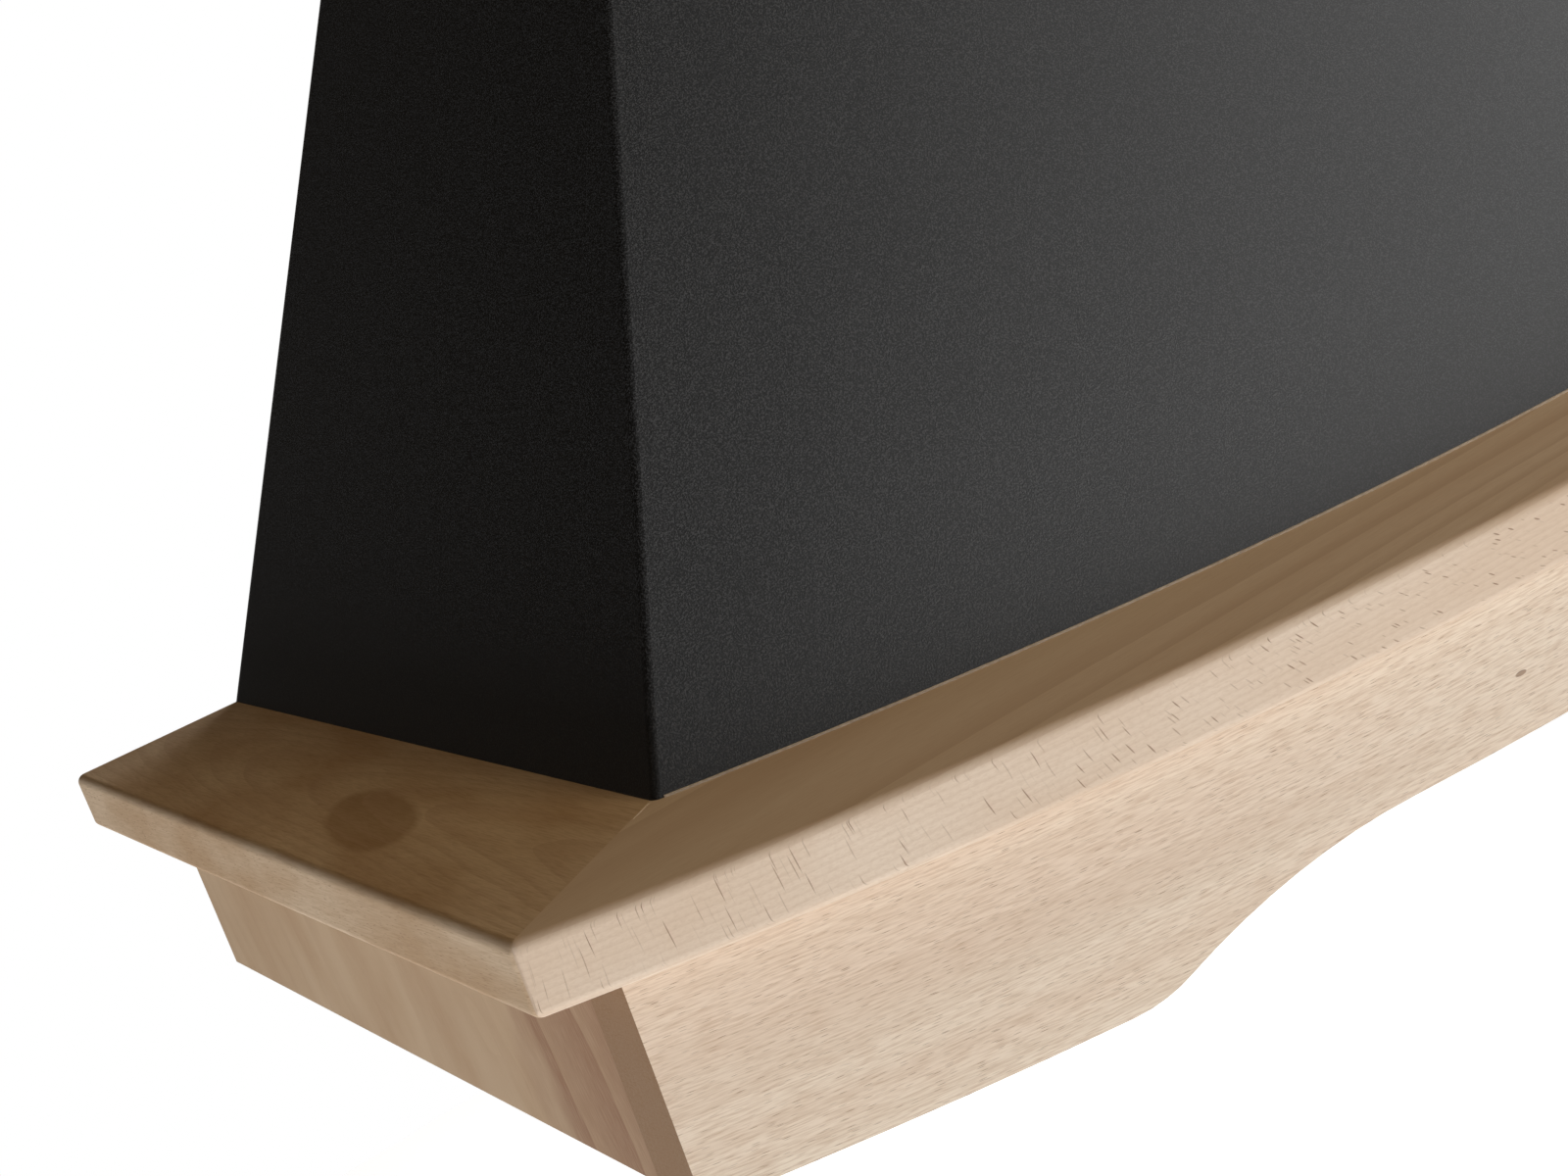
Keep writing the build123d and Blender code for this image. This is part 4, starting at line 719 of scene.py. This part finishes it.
# Filter bails: one length of 3 mm stainless wire each, bent at four corners into a flat bow.
# The two ends turn in the ears of the filter's frame, so the bow folds against the net.
WIRE_RADIUS = 0.0015
WIRE_SIDES = 14
BAIL_LEVEL = -0.05275
BAIL_Y = -0.233
BAIL_END = 0.03075  # from the filter's middle to the wire's end
BAIL_ARM = 0.02095  # from the filter's middle to the arm
BAIL_DROP = 0.013
BAIL_BEND = 0.004
BEND_STEPS = 6
MERGE_GAP = 0.00001
# Bright, with lines along the wire from drawing.
stainless_wire = mottled(
    "drawn stainless wire",
    "#a9abac",
    "#cfd1d2",
    grain=0.0015,
    roughness=0.22,
    metallic=1.0,
    bump=0.1,
    draw=(0.1, 1, 1),
)
for side, word in BOTH_SIDES:
    middle = side * FILTER_MIDDLE_X
    start_afresh()
    bpy.ops.mesh.primitive_circle_add(
        vertices=WIRE_SIDES,
        radius=WIRE_RADIUS,
        fill_type="NGON",
        location=(middle - BAIL_END, BAIL_Y, BAIL_LEVEL),
        rotation=(0, radians(90), 0),
    )
    settle()
    bpy.ops.object.mode_set(mode="EDIT")
    bpy.ops.mesh.select_all(action="SELECT")
    bottom = BAIL_LEVEL - BAIL_DROP
    runs = (
        ((BAIL_END - BAIL_ARM - BAIL_BEND, 0, 0), (-BAIL_ARM - BAIL_BEND, BAIL_LEVEL - BAIL_BEND), 1),
        ((0, 0, 2 * BAIL_BEND - BAIL_DROP), (-BAIL_ARM + BAIL_BEND, bottom + BAIL_BEND), -1),
        ((2 * (BAIL_ARM - BAIL_BEND), 0, 0), (BAIL_ARM - BAIL_BEND, bottom + BAIL_BEND), -1),
        ((0, 0, BAIL_DROP - 2 * BAIL_BEND), (BAIL_ARM + BAIL_BEND, BAIL_LEVEL - BAIL_BEND), 1),
    )
    for run, (turn_x, turn_z), way in runs:
        bpy.ops.mesh.extrude_region_move(TRANSFORM_OT_translate={"value": run})
        bend = (middle + turn_x, BAIL_Y, turn_z)
        bpy.ops.mesh.spin(steps=BEND_STEPS, angle=radians(90), center=bend, axis=(0, way, 0))
    bpy.ops.mesh.extrude_region_move(TRANSFORM_OT_translate={"value": runs[0][0]})
    bpy.ops.mesh.select_all(action="SELECT")
    bpy.ops.mesh.remove_doubles(threshold=MERGE_GAP)
    bpy.ops.mesh.normals_make_consistent(inside=False)
    bpy.ops.object.mode_set(mode="OBJECT")
    bail = end_piece(f"filter_bail_{word}", stainless_wire, f"handle_{word}", smooth=50)
    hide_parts(f"filter_handle_{word}")

# Lamps: a satin chromed bezel pressed up into the pan, with a spun aluminium can above it for the bulb.
# The lens is moulded in opal polycarbonate, with ring ribs that spread the light, and snaps into the bezel.
LAMP_X = 0.230
LAMP_Y = -0.288
LENS_RADIUS = 0.024
LENS_SIDES = 64
LENS_LEVEL = -0.0507
LENS_THICK = 0.002
RIB_COUNT = 10
RIB_RUN = 0.0021
RIB_RISE = 0.0008
LEVEL_FACE = 0.9  # a face whose normal goes up or down by more than this lies level
# Even silver with a soft, blurred mirror.
satin_chrome = mottled(
    "satin chrome", "#b4b6b8", "#c0c2c4", grain=0.0015, roughness=0.26, metallic=1.0, bump=0.02
)
coat(satin_chrome, "lamp_bezel_left", "lamp_bezel_right")
# Dull silver with fine lines from the spinning tool.
spun_aluminium = mottled(
    "spun aluminium",
    "#a8abad",
    "#c6c8ca",
    grain=0.001,
    roughness=0.35,
    metallic=1.0,
    bump=0.15,
    draw=(1, 1, 0.1),
)
coat(spun_aluminium, "lamp_can_left", "lamp_can_right")
# Milky white without grain, and slightly glossy.
opal_lens = mottled("opal polycarbonate", "#efece2", "#f4f1e8", grain=0.006, roughness=0.28, bump=0.0)
for side, word in BOTH_SIDES:
    start_afresh()
    bpy.ops.mesh.primitive_cylinder_add(
        vertices=LENS_SIDES,
        radius=LENS_RADIUS,
        depth=LENS_THICK,
        location=(side * LAMP_X, LAMP_Y, LENS_LEVEL),
    )
    lens = bpy.context.object
    open_at(lens, "FACE", lambda face: face.normal.z < -LEVEL_FACE)
    for ring in range(RIB_COUNT):
        rise = RIB_RISE if ring % 2 else -RIB_RISE
        bpy.ops.mesh.inset(thickness=RIB_RUN, depth=rise)
    bpy.ops.object.mode_set(mode="OBJECT")
    end_piece(f"ribbed_lens_{word}", opal_lens, "hood", smooth=15)
    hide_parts(f"lamp_lens_{word}")

# Push buttons: moulded satin black caps in a black ABS fascia, each with a shallow dish for the finger.
# Pale pad-printed dots count the three speeds, a ring marks the lamp and a bar marks stop.
BUTTONS = ("light", "stop", "speed_1", "speed_2", "speed_3")
BUTTON_Y = -0.358
BUTTON_PITCH = 0.026
CAP_SIZE = (0.018, 0.012, 0.0073)
CAP_TOP = -0.0497
CAP_LIP = 0.0012
CAP_RIM = 0.0016  # flat round the dish
CAP_EASE = 0.0006
DISH = 0.0005
DISH_SLOPE = 0.0012
RING_RADIUS = 0.0019
RING_LINE = 0.00035
RING_FLAT = 0.5  # of its height is left
DOT_RADIUS = 0.0007
DOT_HEIGHT = 0.0004
DOT_PITCH = 0.0026
DOT_EASE = (0.0002, 0.00008)  # in from the rim, and out
BAR_LENGTH = 3.2  # in dots
# Black with a fine eroded grain that takes the gloss off.
black_abs = mottled("black spark-eroded ABS", "#161617", "#202021", grain=0.0008, roughness=0.5, bump=0.3)
coat(black_abs, "control_fascia", "switch_block")
# A shade lighter and smoother than the fascia round it.
cap_abs = mottled("satin grey-black ABS", "#27282a", "#313235", grain=0.001, roughness=0.36, bump=0.15)
# Flat pale grey.
pad_ink = mottled("pale pad ink", "#cfd0cd", "#dfe0dd", grain=0.0015, roughness=0.55, bump=0.05)
cap_base = CAP_TOP - CAP_SIZE[2]
cap_middle = CAP_TOP - CAP_SIZE[2] / 2
for number, word in enumerate(BUTTONS):
    button_x = BUTTON_PITCH * (number - (len(BUTTONS) - 1) / 2)
    start_afresh()
    bpy.ops.mesh.primitive_cube_add(size=1, location=(button_x, BUTTON_Y, (cap_base + CAP_TOP) / 2))
    bpy.ops.transform.resize(value=CAP_SIZE)
    settle()
    cap = bpy.context.object
    open_at(cap, "FACE", lambda face: face.normal.z > LEVEL_FACE)
    bpy.ops.mesh.extrude_region_move(TRANSFORM_OT_translate={"value": (0, 0, 0)})
    bpy.ops.transform.resize(
        value=(1 + 2 * CAP_LIP / CAP_SIZE[0], 1 + 2 * CAP_LIP / CAP_SIZE[1], 1),
        center_override=(button_x, BUTTON_Y, CAP_TOP),
    )
    bpy.ops.mesh.extrude_region_move(TRANSFORM_OT_translate={"value": (0, 0, CAP_LIP)})
    bpy.ops.object.mode_set(mode="OBJECT")
    open_at(cap, "FACE", lambda face: face.normal.z < -LEVEL_FACE and face.center.z < cap_middle)
    bpy.ops.mesh.inset(thickness=CAP_RIM, depth=0)
    bpy.ops.mesh.inset(thickness=DISH_SLOPE, depth=-DISH)
    bpy.ops.object.mode_set(mode="OBJECT")
    eased = cap.modifiers.new("eased edges", "BEVEL")
    eased.width = CAP_EASE
    eased.segments = 3
    eased.limit_method = "ANGLE"
    eased.angle_limit = radians(40)
    bpy.ops.object.modifier_apply(modifier=eased.name)
    end_piece(f"cap_{word}", cap_abs, f"button_{word}", smooth=40)
    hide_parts(f"button_{word}")

    start_afresh()
    mark_level = cap_base + DISH
    if word == "light":
        bpy.ops.mesh.primitive_torus_add(
            major_radius=RING_RADIUS,
            minor_radius=RING_LINE,
            major_segments=28,
            minor_segments=8,
            location=(button_x, BUTTON_Y, mark_level),
        )
        bpy.ops.transform.resize(value=(1, 1, RING_FLAT))
    else:
        dots = int(word[-1]) if word[-1].isdigit() else 1
        stretch = BAR_LENGTH if word == "stop" else 1.0
        bpy.ops.mesh.primitive_cylinder_add(
            vertices=20,
            radius=DOT_RADIUS,
            depth=DOT_HEIGHT,
            location=(button_x - DOT_PITCH / 2 * (dots - 1), BUTTON_Y, mark_level),
        )
        bpy.ops.transform.resize(value=(stretch, 1, 1))
        settle()
        mark = bpy.context.object
        open_at(mark, "FACE", lambda face: face.normal.z < -LEVEL_FACE)
        bpy.ops.mesh.inset(thickness=DOT_EASE[0], depth=DOT_EASE[1])
        bpy.ops.object.mode_set(mode="OBJECT")
        repeat(mark, dots, (DOT_PITCH, 0, 0))
    end_piece(f"mark_{word}", pad_ink, f"button_{word}", smooth=40)

# Blower: two moulded polypropylene scroll halves, screwed to the blower plate round a double-inlet impeller.
# The motor sits in the impeller on a three-armed spider.
# Two flaps on one pin close the black ABS outlet collar when the fan stops.
MOULDED_FLOW = 0.002  # the faint cloud that plastic keeps from flowing into the mould
MOTOR_PEEL = 0.0018  # between the crests of the paint's orange peel
# Waxy mid grey with a faint sheen.
grey_polypropylene = mottled(
    "grey polypropylene", "#8b8f91", "#989c9e", grain=MOULDED_FLOW, roughness=0.42, bump=0.05
)
coat(grey_polypropylene, "scroll_left", "scroll_right", "flap_front", "flap_rear")
coat(black_abs, "outlet_collar")
# The same waxy sheen in a paler grey.
pale_polypropylene = mottled(
    "pale impeller polypropylene", "#a9adae", "#b2b6b7", grain=MOULDED_FLOW, roughness=0.4, bump=0.05
)
coat(pale_polypropylene, "impeller")
# Dark grey with a slight orange peel.
motor_paint = mottled(
    "painted motor steel", "#2d3033", "#3b3e41", grain=MOTOR_PEEL, roughness=0.4, metallic=0.2, bump=0.3
)
coat(motor_paint, "motor_can", "motor_spider")

# Wiring: a terminal block moulded in polyamide and the motor's capacitor, in a covered box of black ABS.
# The box hangs on the back plate, and a rubber grommet lines the cable hole above it.
RUBBER_GRAIN = 0.0007
coat(black_abs, "wiring_box", "wiring_cover")
# Off-white and matt.
white_polyamide = mottled("white polyamide", "#dcdcd6", "#e8e8e2", grain=0.0015, roughness=0.45, bump=0.05)
coat(white_polyamide, "terminal_block")
# Smooth white with a soft gloss.
white_can = mottled(
    "white polypropylene capacitor can", "#e3e3df", "#efefeb", grain=MOULDED_FLOW, roughness=0.35, bump=0.1
)
coat(white_can, "run_capacitor")
# Dull black.
grommet_rubber = mottled(
    "grommet rubber", "#141414", "#1f1f1f", grain=RUBBER_GRAIN, roughness=0.65, bump=0.3
)
coat(grommet_rubber, "cable_grommet")

# Floor: a plain pale sheet at the height of a kitchen floor under the hood.
# It shows white to the camera and keeps the soft shadow of the hood.
# It is clear from below, for views of the underside.
FLOOR_SIZE = 16
FLOOR_MIDDLE = (0, -5, -1.6)
FLOOR_GLOW = 0.8
start_afresh()
bpy.ops.mesh.primitive_plane_add(size=FLOOR_SIZE, location=FLOOR_MIDDLE)
floor = bpy.context.object
floor.name = "floor"
pale_floor, tree, shader = new_finish("pale floor")
shader.inputs["Base Color"].default_value = paint("#d8d8d8")
shader.inputs["Roughness"].default_value = 0.9
rays_seen = add_node(tree, "LightPath", {})
seen_or_glossy = add_node(
    tree,
    "Math",
    {"operation": "MAXIMUM"},
    {0: rays_seen.outputs["Is Camera Ray"], 1: rays_seen.outputs["Is Glossy Ray"]},
)
seen = add_node(
    tree,
    "Math",
    {"operation": "MAXIMUM"},
    {0: seen_or_glossy.outputs["Value"], 1: rays_seen.outputs["Is Transmission Ray"]},
)
glow_level = add_node(tree, "Math", {"operation": "MULTIPLY", 1: FLOOR_GLOW}, {0: seen.outputs["Value"]})
glow = add_node(tree, "Emission", {"Color": (1, 1, 1, 1)}, {"Strength": glow_level.outputs["Value"]})
both = add_node(tree, "AddShader", {}, {0: shader.outputs["BSDF"], 1: glow.outputs["Emission"]})
side_seen = add_node(tree, "NewGeometry", {})
clear = add_node(tree, "BsdfTransparent", {})
one_sided = add_node(
    tree,
    "MixShader",
    {},
    {0: side_seen.outputs["Backfacing"], 1: both.outputs["Shader"], 2: clear.outputs["BSDF"]},
)
tree.links.new(one_sided.outputs["Shader"], tree.nodes["Material Output"].inputs["Surface"])
floor.data.materials.append(pale_floor)

# Studio: a white surround for the camera. Shiny surfaces mirror it on the right, and darkness on the left
# and where the wall would stand, apart from a faint glow low down there. Five soft boxes light the hood:
# a key in front below eye level, one at each side, a warm one above and one behind.
ROOM_HEADING = (0.75, -0.22, -0.75)  # where the mirrored room is brightest
WALL_GLOW = 0.09
SHADE_GLOW = 0.025
HOOD_MIDDLE = (0, -0.25, 0.1)
world = bpy.data.worlds.new("white studio")
bpy.context.scene.world = world
world.use_nodes = True
tree = world.node_tree
rays_seen = add_node(tree, "LightPath", {})
heading = add_node(tree, "TexCoord", {})
towards_room = add_node(
    tree,
    "VectorMath",
    {"operation": "DOT_PRODUCT", 1: ROOM_HEADING},
    {0: heading.outputs["Generated"]},
)
in_room = add_node(
    tree, "MapRange", {"From Min": -0.6, "From Max": 0.5}, {"Value": towards_room.outputs["Value"]}
)
heading_parts = add_node(tree, "SeparateXYZ", {}, {0: heading.outputs["Generated"]})
clear_of_wall = add_node(
    tree,
    "MapRange",
    {"From Min": 0.75, "From Max": 0.3, "To Min": 0.15},
    {"Value": heading_parts.outputs["Y"]},
)
room_share = add_node(
    tree,
    "Math",
    {"operation": "MULTIPLY"},
    {0: in_room.outputs["Result"], 1: clear_of_wall.outputs["Result"]},
)
towards_wall = add_node(
    tree, "MapRange", {"From Min": 0.3, "From Max": 0.75}, {"Value": heading_parts.outputs["Y"]}
)
low_down = add_node(
    tree,
    "MapRange",
    {"From Min": 0.28, "From Max": -0.02, "To Max": WALL_GLOW},
    {"Value": heading_parts.outputs["Z"]},
)
wall_share = add_node(
    tree,
    "Math",
    {"operation": "MULTIPLY"},
    {0: towards_wall.outputs["Result"], 1: low_down.outputs["Result"]},
)
room_or_wall = add_node(
    tree, "Math", {"operation": "MAXIMUM"}, {0: room_share.outputs["Value"], 1: wall_share.outputs["Value"]}
)
mirrored = add_node(
    tree,
    "Math",
    {"operation": "MULTIPLY"},
    {0: rays_seen.outputs["Is Glossy Ray"], 1: room_or_wall.outputs["Value"]},
)
direct = add_node(
    tree,
    "Math",
    {"operation": "MAXIMUM"},
    {0: rays_seen.outputs["Is Camera Ray"], 1: rays_seen.outputs["Is Transmission Ray"]},
)
white_share = add_node(
    tree, "Math", {"operation": "MAXIMUM"}, {0: direct.outputs["Value"], 1: mirrored.outputs["Value"]}
)
dim = add_node(tree, "Background", {"Color": paint("#ffe8cc"), "Strength": SHADE_GLOW})
bright = add_node(tree, "Background", {"Color": (1, 1, 1, 1), "Strength": 1.0})
choice = add_node(
    tree,
    "MixShader",
    {},
    {0: white_share.outputs["Value"], 1: dim.outputs["Background"], 2: bright.outputs["Background"]},
)
tree.links.new(choice.outputs["Shader"], tree.nodes["World Output"].inputs["Surface"])


def soft_box(name, place, size, power, colour, mirrored=True):
    """A square soft box at a place, turned to the hood, which shiny surfaces mirror or not."""
    lamp = bpy.data.lights.new(name, "AREA")
    lamp.size = size
    lamp.energy = power
    lamp.color = paint(colour)[:3]
    holder = bpy.data.objects.new(name, lamp)
    bpy.context.scene.collection.objects.link(holder)
    holder.location = place
    holder.visible_glossy = mirrored
    holder.rotation_euler = (Vector(place) - Vector(HOOD_MIDDLE)).to_track_quat("Z", "Y").to_euler()


soft_box("key box", place=(0.4, -3.2, -0.55), size=1.8, power=70, colour="#ffffff")
soft_box("right box", place=(2.8, -0.4, 0.35), size=1.3, power=44, colour="#ffffff", mirrored=False)
soft_box("left box", place=(-1.8, -0.3, -0.75), size=0.9, power=18.2, colour="#ffffff", mirrored=False)
soft_box("top box", place=(1.1, -1.3, 2.5), size=1.2, power=24.5, colour="#ffe0b0", mirrored=False)
soft_box("rear box", place=(2.6, 1.6, 0.8), size=1.6, power=60, colour="#ffffff")

# Camera: close to the left front corner, a little above the ledge and rolled to the left.
# A moderate lens takes in the corner, half of the front and the foot of the canopy.
eye = bpy.data.cameras.new("camera")
eye.lens = 49.8
eye.sensor_width = 36
eye.clip_start = 0.01
camera = bpy.data.objects.new("camera", eye)
bpy.context.scene.collection.objects.link(camera)
camera.location = (-0.6201, -0.8070, 0.1846)
camera.rotation_euler = [radians(angle) for angle in (74.665, 18.017, -35.861)]
bpy.context.scene.camera = camera
bpy.context.scene.view_settings.view_transform = "Standard"
